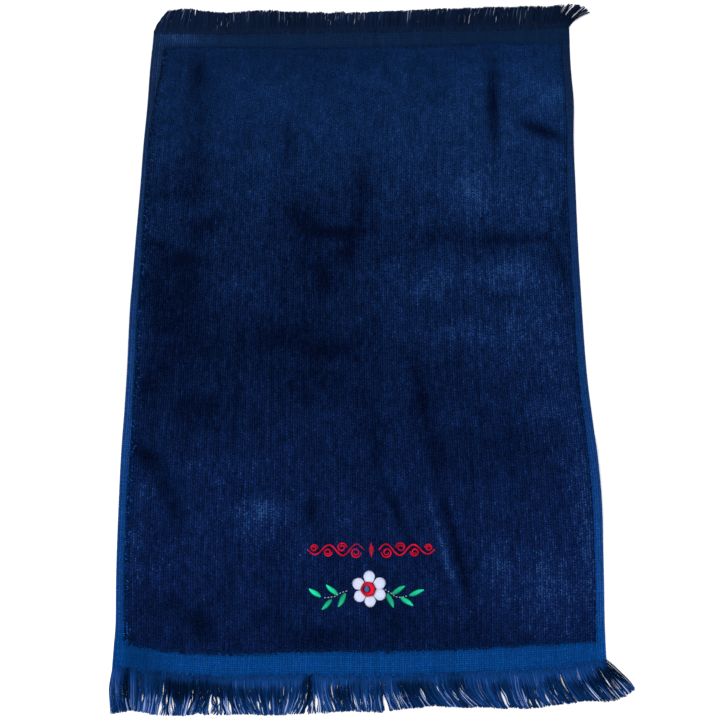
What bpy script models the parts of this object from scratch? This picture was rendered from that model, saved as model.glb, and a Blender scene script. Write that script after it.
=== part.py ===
"""A fringed fingertip towel, laid out flat: one woven cloth, two fringes and an embroidered sprig.

The towel lies on the floor at z = 0. X runs across it and Y along it, with the embroidered end
towards -Y. The origin is on the floor, in the middle of the towel's outline with its fringes.
"""

import math
import random
from collections import namedtuple

import bmesh
import bpy
import numpy as np

MM = 0.001
NAME = "fingertip_towel"
SEED = 11

# Cloth, in millimetres: the flat woven ends and edges, and the cut pile between them.
LENGTH = 417.0
GROUND_THICK = 1.2
PILE_THICK = 2.6
PILE_SLOPE = 1.6
COLUMNS = 31
ROWS = 46

# Fringe, in millimetres: a narrow strip of the end hem, with loose locks of warp thread.
STRIP_WIDE = 2.0
STRIP_GAP = 0.3
LOCKS = 104
LOCK_SHARE = 0.6
LOCK_TIP_WIDE = 1.05
LOCK_TIP_THICK = 0.8
LOCK_STEPS = 3
LOCK_SWAY = 0.4
LOCK_UNEVEN = 1.1
LOCK_LEAN_START = 0.35

# Embroidered sprig, in millimetres, just above the pile.
STITCH_LIFT = 0.3
STITCH_HIGH = 0.8
FLOWER_X = 3.4
FLOWER_Y = -162.9
PETALS = 6
PETAL_REACH = 10.0
PETAL_NOTCH = 6.4
RING_OUTER = 4.4
RING_INNER = 2.2
EYE_RADIUS = 1.9
PARTING = 0.35
LEAF_WIDE = 3.4

# The origin is the middle of the whole outline, so the cloth's own middle is moved by this much.
FRAME_X = -5.5
FRAME_Y = 4.15

Side = namedtuple("Side", "along left right left_selvedge right_selvedge")
SIDES = (
    Side(-208.0, -139.8, 139.0, 6.2, 5.8),
    Side(-190.0, -139.2, 137.5, 5.6, 5.6),
    Side(-157.0, -140.5, 138.6, 4.8, 5.2),
    Side(-111.0, -141.4, 139.9, 4.2, 5.9),
    Side(-87.0, -141.6, 139.1, 4.7, 5.4),
    Side(-37.0, -140.7, 136.2, 4.1, 5.4),
    Side(14.0, -141.0, 135.7, 4.8, 4.9),
    Side(55.0, -140.2, 135.9, 4.5, 5.1),
    Side(95.0, -139.1, 136.7, 3.9, 5.6),
    Side(123.0, -138.6, 137.1, 3.9, 4.6),
    Side(153.0, -137.5, 138.8, 5.2, 5.3),
    Side(182.0, -137.0, 138.5, 8.6, 5.3),
    Side(206.0, -136.0, 139.1, 9.0, 5.2),
)

End = namedtuple("End", "across near far near_band far_band")
ENDS = (
    End(-140.0, -208.5, 204.8, 15.0, 14.4),
    End(-108.0, -211.4, 204.7, 14.3, 12.9),
    End(-72.0, -213.7, 204.5, 15.2, 13.2),
    End(-35.0, -212.8, 205.1, 15.3, 14.3),
    End(21.0, -213.4, 205.8, 16.2, 14.2),
    End(46.0, -212.6, 206.2, 15.8, 14.4),
    End(93.0, -210.6, 206.8, 16.3, 13.0),
    End(120.0, -208.3, 207.6, 15.4, 14.3),
    End(140.0, -204.6, 208.1, 13.0, 14.8),
)

# A crease runs from one point to another. A ridge lifts the cloth and a trough presses its pile.
Crease = namedtuple("Crease", "x1 y1 x2 y2 half_width height")
CREASES = (
    Crease(1.0, 62.0, 1.5, -140.0, 15.0, 1.1),
    Crease(52.0, 53.0, 101.0, 53.0, 12.0, -0.9),
    Crease(101.0, 53.0, 136.0, 24.0, 12.0, -0.8),
    Crease(54.0, 70.0, 104.0, 69.0, 14.0, 1.4),
    Crease(-2.0, 0.0, 56.0, 7.0, 11.0, -0.7),
    Crease(56.0, 7.0, 88.0, -14.0, 11.0, -0.6),
    Crease(22.0, -18.0, 50.0, -100.0, 12.0, 1.3),
    Crease(50.0, -100.0, 64.0, -172.0, 12.0, 1.2),
    Crease(12.0, -98.0, 28.0, -138.0, 10.0, -0.6),
    Crease(84.0, 182.0, 84.0, 112.0, 13.0, 1.5),
    Crease(-125.0, -74.0, -104.0, -112.0, 12.0, -0.9),
    Crease(-112.0, -60.0, -88.0, -106.0, 14.0, 1.4),
    Crease(-44.0, 58.0, 0.0, 61.0, 12.0, -0.8),
    Crease(-130.0, 84.0, -96.0, 34.0, 14.0, -0.7),
    Crease(-146.0, 10.0, -134.0, -46.0, 16.0, 1.6),
    Crease(142.0, -84.0, 132.0, -124.0, 16.0, 1.7),
    Crease(144.0, 150.0, 128.0, 112.0, 15.0, 1.5),
)
HEM_CALM = 26.0

# Where locks leave the hem and where their tips lie.
Lock = namedtuple("Lock", "root tip_x tip_y")
NEAR_LOCKS = (
    Lock(-139.5, -136.2, -227.5),
    Lock(-110.0, -111.0, -231.5),
    Lock(-98.0, -98.5, -232.3),
    Lock(-72.0, -72.0, -231.6),
    Lock(-45.0, -44.0, -231.6),
    Lock(-18.0, -15.0, -230.9),
    Lock(8.0, 12.0, -230.6),
    Lock(21.0, 26.0, -229.0),
    Lock(61.0, 66.0, -229.0),
    Lock(88.0, 93.0, -228.5),
    Lock(114.0, 121.0, -226.0),
    Lock(127.0, 136.0, -224.0),
    Lock(134.0, 145.5, -221.5),
    Lock(137.8, 152.0, -217.5),
)
FAR_LOCKS = (
    Lock(-135.8, -129.0, 218.5),
    Lock(-126.0, -117.5, 221.6),
    Lock(-105.0, -100.5, 220.5),
    Lock(-88.0, -85.0, 219.6),
    Lock(-70.0, -69.0, 218.8),
    Lock(-22.0, -20.5, 220.0),
    Lock(11.0, 11.0, 218.4),
    Lock(28.0, 28.5, 218.6),
    Lock(43.0, 44.0, 221.0),
    Lock(75.0, 77.0, 221.8),
    Lock(107.0, 110.0, 223.2),
    Lock(128.0, 134.0, 223.6),
    Lock(134.0, 145.0, 222.2),
    Lock(137.8, 153.0, 217.5),
)

Leaf = namedtuple("Leaf", "tip_x tip_y root_x root_y")
LEAVES = (
    Leaf(-30.0, -162.5, -23.2, -167.0),
    Leaf(-20.3, -160.0, -13.5, -165.9),
    Leaf(-22.6, -174.3, -16.9, -168.8),
    Leaf(-13.5, -172.7, -9.6, -165.3),
    Leaf(17.8, -173.4, 15.0, -165.9),
    Leaf(24.8, -161.3, 16.7, -166.0),
    Leaf(29.1, -172.6, 21.8, -167.2),
    Leaf(35.5, -163.6, 26.9, -166.7),
)

Finish = namedtuple("Finish", "colour roughness")
NAVY_PILE = Finish((0.0035, 0.0130, 0.0560, 1.0), 0.95)
NAVY_YARN = Finish((0.0060, 0.0420, 0.1650, 1.0), 0.90)
WHITE_THREAD = Finish((0.72, 0.73, 0.80, 1.0), 0.55)
RED_THREAD = Finish((0.52, 0.012, 0.020, 1.0), 0.55)
GREY_THREAD = Finish((0.16, 0.22, 0.34, 1.0), 0.55)
GREEN_THREAD = Finish((0.010, 0.190, 0.085, 1.0), 0.55)


def smooth_table(rows, key, value):
    """A function through one column of a table, with level ends and no kinks between rows."""
    where = np.array([getattr(row, key) for row in rows])
    what = np.array([getattr(row, value) for row in rows])
    slope = np.gradient(what, where)

    def read(at):
        at = min(max(at, where[0]), where[-1])
        i = min(int(np.searchsorted(where, at, side="right")) - 1, len(where) - 2)
        span = where[i + 1] - where[i]
        t = (at - where[i]) / span
        rise = what[i] * (1 + 2 * t) * (1 - t) ** 2 + what[i + 1] * t * t * (3 - 2 * t)
        return float(rise + span * (slope[i] * t * (1 - t) ** 2 - slope[i + 1] * t * t * (1 - t)))

    return read


left_edge = smooth_table(SIDES, "along", "left")
right_edge = smooth_table(SIDES, "along", "right")
left_selvedge = smooth_table(SIDES, "along", "left_selvedge")
right_selvedge = smooth_table(SIDES, "along", "right_selvedge")
near_hem = smooth_table(ENDS, "across", "near")
far_hem = smooth_table(ENDS, "across", "far")
near_band = smooth_table(ENDS, "across", "near_band")
far_band = smooth_table(ENDS, "across", "far_band")


def crease_height(crease, x, y):
    """How much one crease adds at a point: a soft hump across it that fades past its ends."""
    run = np.array([crease.x2 - crease.x1, crease.y2 - crease.y1])
    length = float(np.hypot(*run))
    step = np.array([x - crease.x1, y - crease.y1])
    along = float(step @ run) / length
    aside = float(step[0] * run[1] - step[1] * run[0]) / length
    beyond = max(-along, along - length, 0.0)
    away = math.hypot(aside, beyond) / crease.half_width
    return crease.height * math.cos(away * math.pi / 2) ** 2 if away < 1 else 0.0


def lift_and_dent(x, y):
    """How far the cloth stands off the floor at a point, and how far its pile is pressed down."""
    heights = [crease_height(crease, x, y) for crease in CREASES]
    calm = min(1.0, min(y - near_hem(x), far_hem(x) - y) / HEM_CALM)
    return max(0.0, calm) * max(0.0, *heights), max(0.0, *(-height for height in heights))


def cloth_columns(y):
    """Where the grid's lines cross the cloth at one height: edge, pile foot, pile, foot, edge."""
    left = left_edge(y) + left_selvedge(y)
    right = right_edge(y) - right_selvedge(y)
    pile = np.linspace(left + PILE_SLOPE, right - PILE_SLOPE, COLUMNS)
    return [left_edge(y), left, *pile, right, right_edge(y)]


def cloth_rows(x):
    """The same along the cloth, from the near hem to the far one, less the strips of the fringes."""
    near = near_hem(x) + near_band(x)
    far = far_hem(x) - far_band(x)
    pile = np.linspace(near + PILE_SLOPE, far - PILE_SLOPE, ROWS)
    ends = STRIP_WIDE + STRIP_GAP
    return [near_hem(x) + ends, near, *pile, far, far_hem(x) - ends]


def in_pile(index, count):
    """Whether a grid line is one of those that the full pile stands on."""
    return 2 <= index <= count - 3


def material(name, finish):
    made = bpy.data.materials.new(name)
    made.use_nodes = True
    shader = made.node_tree.nodes["Principled BSDF"]
    shader.inputs["Base Color"].default_value = finish.colour
    shader.inputs["Roughness"].default_value = finish.roughness
    shader.inputs["Metallic"].default_value = 0.0
    made.diffuse_color = finish.colour
    return made


def add_object(name, mesh, finish, parent, collection):
    """One named piece in the towel's collection, hung on the empty at the cloth's middle."""
    mesh.materials.clear()
    mesh.materials.append(material(name + "_finish", finish))
    piece = bpy.data.objects.new(name, mesh)
    piece.parent = parent
    collection.objects.link(piece)
    return piece


def mesh_of(bm, name):
    """The finished mesh, in metres, with its faces pointing out."""
    bmesh.ops.scale(bm, vec=(MM, MM, MM), verts=bm.verts)
    bmesh.ops.recalc_face_normals(bm, faces=bm.faces)
    mesh = bpy.data.meshes.new(name)
    bm.to_mesh(mesh)
    bm.free()
    return mesh


def raised_grid(columns, rows):
    """A flat grid with a second one raised over it: a closed slab, its faces sorted by layer."""
    bm = bmesh.new()
    bmesh.ops.create_grid(bm, x_segments=columns, y_segments=rows, size=0.5)
    raised = bmesh.ops.extrude_face_region(bm, geom=bm.faces[:])
    upper = [item for item in raised["geom"] if isinstance(item, bmesh.types.BMVert)]
    bmesh.ops.translate(bm, vec=(0.0, 0.0, 1.0), verts=upper)
    return bm


def cloth_mesh():
    """The woven cloth: thin flat ends and edges, a thicker field of pile, and its creases."""
    across = len(cloth_columns(0.0))
    along = len(cloth_rows(0.0))
    bm = raised_grid(across - 1, along - 1)
    for vert in bm.verts:
        column = round((vert.co.x + 0.5) * (across - 1))
        row = round((vert.co.y + 0.5) * (along - 1))
        level = (row / (along - 1) - 0.5) * LENGTH
        x = cloth_columns(level)[column]
        y = cloth_rows(x)[row]
        lift, dent = lift_and_dent(x, y)
        full = in_pile(column, across) and in_pile(row, along)
        thick = PILE_THICK - dent if full else GROUND_THICK
        vert.co = (x, y, lift + thick * vert.co.z)
    return mesh_of(bm, "towel_cloth")


def lock_path(root, tip, share):
    """A point on a lock: it leaves the hem square to it and leans over towards its tip."""
    middle = (root[0] + (tip[0] - root[0]) * LOCK_LEAN_START, (root[1] + tip[1]) / 2)
    a, b, c = (1 - share) ** 2, 2 * share * (1 - share), share * share
    return tuple(a * root[i] + b * middle[i] + c * tip[i] for i in range(2))


def pull_lock(bm, face, tip):
    """Draw one lock out of a face of the strip's side, step by step, resting level on the floor."""
    start = face.calc_center_median()
    half = max(vert.co.x for vert in face.verts) - start.x
    for step in range(1, LOCK_STEPS + 1):
        share = step / LOCK_STEPS
        x, y = lock_path(start, tip, share)
        wide = half + (LOCK_TIP_WIDE / 2 - half) * share
        thick = GROUND_THICK + (LOCK_TIP_THICK - GROUND_THICK) * share
        centre = face.calc_center_median()
        face = bmesh.ops.extrude_discrete_faces(bm, faces=[face])["faces"][0]
        for vert in face.verts:
            side = 1 if vert.co.x > centre.x else -1
            top = thick if vert.co.z > centre.z else 0.0
            vert.co = (x + side * wide, y, top)


def fringe_mesh(name, hem, locks, outward, draw):
    """A strip parted from the cloth's end, with every other face of its outer side drawn out."""
    level = hem(0.0)
    left, right = left_edge(level), right_edge(level)
    columns = 2 * LOCKS + 1
    pitch = (right - left) / (LOCKS + 1 - LOCK_SHARE)
    bm = raised_grid(columns, 1)
    for vert in bm.verts:
        lock, half = divmod(round((vert.co.x + 0.5) * columns), 2)
        x = left + pitch * (lock + half * (1 - LOCK_SHARE))
        inward = 0.0 if vert.co.y * outward > 0 else STRIP_WIDE
        vert.co = (x, hem(x) - outward * inward, GROUND_THICK * vert.co.z)
    bmesh.ops.recalc_face_normals(bm, faces=bm.faces)
    side = [face for face in bm.faces if face.normal.y * outward > 0.9]
    side.sort(key=lambda face: face.calc_center_median().x)
    tip_x = smooth_table(locks, "root", "tip_x")
    tip_y = smooth_table(locks, "root", "tip_y")
    for face in side[1::2]:
        root = face.calc_center_median().x
        sway = LOCK_SWAY * draw.uniform(-1, 1)
        short = LOCK_UNEVEN * draw.random()
        pull_lock(bm, face, (tip_x(root) + sway, tip_y(root) - outward * short))
    return mesh_of(bm, name)


def stitch_floor():
    """The height at which the embroidery starts: the pile's top and the gap above it."""
    return PILE_THICK + STITCH_LIFT


def petal_edge(angle):
    """How far the petals reach at an angle: six rounded lobes, one of them straight up."""
    lobe = abs(math.cos(PETALS / 2 * (angle - math.pi / 2)))
    return PETAL_NOTCH + (PETAL_REACH - PETAL_NOTCH) * lobe**0.6


def ring_pad(name, inner, outer_at, around, sides):
    """A low ring pad about the flower's middle, made from a torus whose outer edge is reshaped."""
    bpy.ops.mesh.primitive_torus_add(
        major_segments=around, minor_segments=sides, major_radius=2.0, minor_radius=1.0
    )
    made = bpy.context.active_object
    bm = bmesh.new()
    bm.from_mesh(made.data)
    bpy.data.objects.remove(made)
    for vert in bm.verts:
        angle = math.atan2(vert.co.y, vert.co.x)
        share = (math.hypot(vert.co.x, vert.co.y) - 1.0) / 2.0
        reach = inner + (outer_at(angle) - inner) * share
        high = STITCH_HIGH * max(0.0, vert.co.z + 0.5) / 1.5
        x = FLOWER_X + reach * math.cos(angle)
        y = FLOWER_Y + reach * math.sin(angle)
        vert.co = (x, y, stitch_floor() + high)
    return mesh_of(bm, name)


def domed_pad(name, segments, rings, place):
    """A low pad with a level underside, from a sphere whose points a function puts in place."""
    bm = bmesh.new()
    bmesh.ops.create_uvsphere(bm, u_segments=segments, v_segments=rings, radius=1.0)
    low = [vert for vert in bm.verts if vert.co.z < -0.01]
    bmesh.ops.delete(bm, geom=low, context="VERTS")
    rim = [edge for edge in bm.edges if edge.is_boundary]
    bmesh.ops.contextual_create(bm, geom=rim)
    for vert in bm.verts:
        x, y = place(vert.co.x, vert.co.y)
        vert.co = (x, y, stitch_floor() + STITCH_HIGH * vert.co.z)
    return mesh_of(bm, name)


def eye_mesh():
    return domed_pad(
        "flower_eye",
        12,
        4,
        lambda u, v: (FLOWER_X + EYE_RADIUS * u, FLOWER_Y + EYE_RADIUS * v),
    )


def leaf_mesh(name, leaf):
    """A pointed leaf, widest nearer its root, laid from root to tip."""
    run = (leaf.tip_x - leaf.root_x, leaf.tip_y - leaf.root_y)
    length = math.hypot(*run)
    ahead = (run[0] / length, run[1] / length)

    def place(u, v):
        along = (u + 1) / 2 * length
        aside = v * LEAF_WIDE / 2 * (1 - 0.35 * u)
        x = leaf.root_x + ahead[0] * along - ahead[1] * aside
        y = leaf.root_y + ahead[1] * along + ahead[0] * aside
        return x, y

    return domed_pad(name, 10, 4, place)


def build():
    for old in list(bpy.data.objects):
        bpy.data.objects.remove(old)
    collection = bpy.data.collections.new(NAME)
    bpy.context.scene.collection.children.link(collection)
    middle = bpy.data.objects.new("cloth_middle", None)
    middle.location = (FRAME_X * MM, FRAME_Y * MM, 0.0)
    collection.objects.link(middle)
    draw = random.Random(SEED)

    def add(mesh, finish):
        add_object(mesh.name, mesh, finish, middle, collection)

    add(cloth_mesh(), NAVY_PILE)
    add(fringe_mesh("fringe_near", near_hem, NEAR_LOCKS, -1, draw), NAVY_YARN)
    add(fringe_mesh("fringe_far", far_hem, FAR_LOCKS, 1, draw), NAVY_YARN)
    petals = ring_pad("flower_petals", RING_OUTER + PARTING, petal_edge, 48, 6)
    add(petals, WHITE_THREAD)
    ring = ring_pad("flower_ring", RING_INNER, lambda angle: RING_OUTER, 20, 6)
    add(ring, RED_THREAD)
    add(eye_mesh(), GREY_THREAD)
    for number, leaf in enumerate(LEAVES, 1):
        add(leaf_mesh(f"leaf_{number}", leaf), GREEN_THREAD)


build()
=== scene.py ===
"""A fringed fingertip towel, laid out flat: the looks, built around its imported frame.

The tables hold millimetres on the cloth, counted from the cloth's own middle: X across it and Y
along it, with the embroidered end at -Y. The finished pieces are in metres, in the frame.
"""

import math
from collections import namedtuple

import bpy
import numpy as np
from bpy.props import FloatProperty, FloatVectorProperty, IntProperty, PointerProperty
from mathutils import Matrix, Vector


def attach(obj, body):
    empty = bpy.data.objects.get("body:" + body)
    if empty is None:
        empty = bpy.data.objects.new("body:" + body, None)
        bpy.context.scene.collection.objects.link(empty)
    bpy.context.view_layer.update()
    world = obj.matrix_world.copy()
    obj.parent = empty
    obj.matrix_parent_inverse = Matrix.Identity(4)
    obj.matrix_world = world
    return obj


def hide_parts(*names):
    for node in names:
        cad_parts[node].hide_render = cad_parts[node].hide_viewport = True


bl_info = {
    "name": "Fringed Fingertip Towel",
    "version": (1, 0, 0),
    "blender": (4, 5, 0),
    "location": "View3D > Sidebar > Towel",
    "description": "Builds a velour fingertip towel with woven bands, fringes and a stitched sprig",
    "category": "Object",
}

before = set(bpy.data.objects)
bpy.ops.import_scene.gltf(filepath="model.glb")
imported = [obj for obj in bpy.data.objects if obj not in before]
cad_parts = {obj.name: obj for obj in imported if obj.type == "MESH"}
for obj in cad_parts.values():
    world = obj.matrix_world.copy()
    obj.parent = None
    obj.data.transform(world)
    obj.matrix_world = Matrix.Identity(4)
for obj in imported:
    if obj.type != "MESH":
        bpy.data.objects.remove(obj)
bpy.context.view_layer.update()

MM = 0.001
BODY = "root"
BAKE_MAP = "OFBake"
TUBE_SIDES = 4

# The cloth, in millimetres.
CLOTH_MIDDLE = (-5.5, 4.15)
CLOTH_WIDE = 279.0
CLOTH_LONG = 418.0
BAND_THICK = 1.0
PILE_BODY = 1.8
PILE_SLOPE = 1.4
PILE_TOP = 2.7
PILE_COLUMNS = 72
PILE_ROWS = 108
BAND_ROWS = 3
HEM_CALM = 26.0
PRESSED_BODY = 0.6
PRESSED_TOP = 0.8
# The ground cloth is painted darker than its yarn: painted shade under the pile and between the
# band's yarns.
GROUND_UNDER_PILE_SHADE = 0.25
GROUND_BAND_SHADE = 0.55

# The pile: how much of the cloth it covers, and how unevenly its tufts stand.
PILE_WIDE = CLOTH_WIDE - 10.0
PILE_LONG = CLOTH_LONG - 29.0
PILE_PARTS = 6
PILE_SEED = 5
TUFT_SIDES = 3
TUFT_ASIDE = 0.22
TUFT_ALONG_JITTER = 0.35
TUFT_ASIDE_JITTER = 0.04
TUFT_HALF_WIDE = (0.42, 0.52)
TUFT_HALF_LONG = (0.85, 1.1)
# Each tuft is painted darker at its root and lighter at its tip: painted shade down in the pile and
# painted light on its top.
TUFT_ROOT_SHADE = 0.75
TUFT_TIP_LIGHT = 1.35
TUFT_TOP_SPREAD = 0.09
TUFT_SUNK = 0.25
TUFT_LEAN = 0.12
TUFT_LEAN_SPREAD = 0.15
BRUSHED_LEAN = 0.4
RAGGED_WIDE = 2.2
RAGGED_LEAN = 0.35
RAGGED_LEAN_WIDE = 2
RAGGED_DROP = 0.5
RAGGED_SUNK = 0.75
RAGGED_REACH = (-0.4, 0.7)
GRAIN_SPREAD = 0.26
# The left tuft of each rib is painted lighter and the right one darker: painted light and shade on
# the ribs' two sides.
RIB_SIDE_LIGHT = 0.30
RIB_SPREAD = 0.08
STRAY_SHARE = 0.002
STRAY_TONE = (1.5, 2.2)
SHADED_NEAR_END = 2.5
SHADED_FAR_END = 1.4
SHADED_SIDE = 0.9
SHADED_NEAR_TONE = 0.75
SHADED_FAR_TONE = 0.66
SHADED_SIDE_TONE = 0.6

# The plain weave: each yarn's place in its dent, its size in dents and picks, its height and
# tone. Round warps have six sides and the flat weft has four. The weft's lower tone is painted
# shade, as it lies lower than the warps.
Yarn = namedtuple("Yarn", "offset half_wide half_long rise tone sides")
WEAVE_YARNS = (
    Yarn(-0.20, 0.215, 0.56, 0.62, 1.15, 6),
    Yarn(0.20, 0.215, 0.56, 0.62, 1.00, 6),
    Yarn(0.0, 0.46, 0.24, 0.42, 0.72, 4),
)
WEAVE_SEED = 21
WEAVE_TONE = 1.08
WEFT_SIDES = 4
# WARP_OVER and WARP_UNDER also scale each warp's tone with its height: painted shade where it dips
# under.
WARP_OVER = 1.06
WARP_UNDER = 0.95
DENT_SPREAD = 0.07
PICK_SPREAD = 0.05
YARN_SPREAD = 0.16
YARN_SINK = 0.12
UNDER_PILE_SIDE = 0.6
UNDER_PILE_END = 0.9
# Painted shade: a dark line in the weave along the pile's left side, where it meets the selvedge.
FURROW_SHADE_HALF_WIDE = 0.7
FURROW_SHADE_TONE = 0.35
BAND_SPLIT = 185

# Smooth mottle: how deep it is, the size of its largest patches, and its seed.
Mottle = namedtuple("Mottle", "depth cell seed")
WEAVE_MOTTLE = (Mottle(0.10, 12.0, 31), Mottle(0.12, 2.4, 35))
NAP_MOTTLE = (Mottle(0.16, 26.0, 3), Mottle(0.24, 6.0, 9))
PILE_SWELL = Mottle(0.08, 9.0, 17)
LEAN_DRIFT = Mottle(0.2, 11.0, 41)

# The raised thread right of the pile and the loose loops left of it.
EDGE_SEED = 61
EDGE_REACH = (-192.0, 190.0)
EDGE_RADIUS = 0.17
EDGE_STEP = 0.1
RAISED_ASIDE = 0.75
RAISED_STITCH = 1.25
RAISED_GAP = 0.25
RAISED_FOOT = 0.25
RAISED_RISE = 0.75
RAISED_TONE = 1.7
LOOP_PITCH = 0.62
LOOP_ASIDE = 1.1
LOOP_SPREAD = 0.85
LOOP_RISE = 0.95
LOOP_FOOT = 0.7
LOOP_TURN = -0.8
LOOP_TURN_SPREAD = 0.6
LOOP_REACH = (0.5, 1.0)
LOOP_PALE_SHARE = 0.2
LOOP_PALE_TONE = (1.8, 3.0)
LOOP_TONE = (0.1, 1.2)
LOOP_STEPS = 5

SHEEN_ROUGHNESS = 0.45

# Where a colour ramp has its deep, bright and lightest colours, in tones, and where it ends.
DEEP_TONE = 0.5
BRIGHT_TONE = 2.8
LIGHTEST_TONE = 3.8
TOP_TONE = 4.0

# The Mix node's colour sockets, which share their names with its other ones.
MIX_FACTOR = 0
MIX_FIRST = 6
MIX_SECOND = 7
MIX_RESULT = 2

# How much of the pale lift on the yarn each colour channel gets: fuzz on the loose fringe
# threads, and painted sheen on the selvedges.
FUZZ_AND_SHEEN_SHARES = (1.0, 0.3, 0.3)

# How plain the pile's grain is at three places along the cloth.
GRAIN_ALONG = (-190.0, 60.0, 190.0)
GRAIN_DEPTH = (1.0, 0.95, 0.35)

Side = namedtuple("Side", "along left right left_selvedge right_selvedge")
SIDES = (
    Side(-208.0, -139.8, 136.8, 6.2, 5.6),
    Side(-190.0, -139.2, 137.1, 5.6, 5.6),
    Side(-157.0, -140.5, 138.6, 5.2, 5.2),
    Side(-111.0, -141.4, 139.9, 5.2, 5.9),
    Side(-87.0, -141.6, 139.1, 5.6, 5.4),
    Side(-37.0, -140.7, 136.2, 5.2, 5.4),
    Side(14.0, -141.0, 135.7, 5.2, 4.9),
    Side(55.0, -140.2, 135.9, 4.5, 5.1),
    Side(95.0, -139.1, 136.7, 3.9, 5.6),
    Side(123.0, -138.6, 137.1, 3.9, 4.6),
    Side(153.0, -137.5, 138.8, 5.2, 5.3),
    Side(182.0, -137.0, 138.5, 8.6, 5.3),
    Side(206.0, -136.0, 139.1, 9.0, 5.2),
)

End = namedtuple("End", "across near far near_band far_band")
ENDS = (
    End(-140.0, -208.5, 204.8, 17.6, 14.4),
    End(-108.0, -211.4, 204.7, 14.3, 12.9),
    End(-72.0, -213.7, 204.5, 15.2, 13.2),
    End(-35.0, -212.8, 205.1, 15.3, 14.3),
    End(21.0, -213.4, 205.8, 16.2, 14.2),
    End(46.0, -212.6, 206.2, 15.8, 14.4),
    End(93.0, -210.6, 206.8, 16.3, 13.0),
    End(120.0, -208.3, 207.6, 15.4, 14.3),
    End(140.0, -204.6, 208.1, 13.0, 14.8),
)

# A ridge lifts the cloth off the floor and a trough presses its pile down.
Crease = namedtuple("Crease", "x1 y1 x2 y2 half_width height")
CREASES = (
    Crease(1.0, 62.0, 1.5, -140.0, 15.0, 1.1),
    Crease(52.0, 53.0, 101.0, 53.0, 12.0, -0.9),
    Crease(101.0, 53.0, 136.0, 24.0, 12.0, -0.8),
    Crease(54.0, 70.0, 104.0, 69.0, 14.0, 1.4),
    Crease(-2.0, 0.0, 56.0, 7.0, 11.0, -0.7),
    Crease(56.0, 7.0, 88.0, -14.0, 11.0, -0.6),
    Crease(22.0, -18.0, 50.0, -100.0, 12.0, 1.3),
    Crease(50.0, -100.0, 64.0, -172.0, 12.0, 1.2),
    Crease(12.0, -98.0, 28.0, -138.0, 10.0, -0.6),
    Crease(84.0, 182.0, 84.0, 112.0, 13.0, 1.5),
    Crease(-125.0, -74.0, -104.0, -112.0, 12.0, -0.9),
    Crease(-112.0, -60.0, -88.0, -106.0, 14.0, 1.4),
    Crease(-44.0, 58.0, 0.0, 61.0, 12.0, -0.8),
    Crease(-130.0, 84.0, -96.0, 34.0, 14.0, -0.7),
    Crease(-146.0, 10.0, -134.0, -46.0, 16.0, 1.6),
    Crease(142.0, -84.0, 132.0, -124.0, 16.0, 1.7),
    Crease(144.0, 150.0, 128.0, 112.0, 15.0, 1.5),
)
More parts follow.
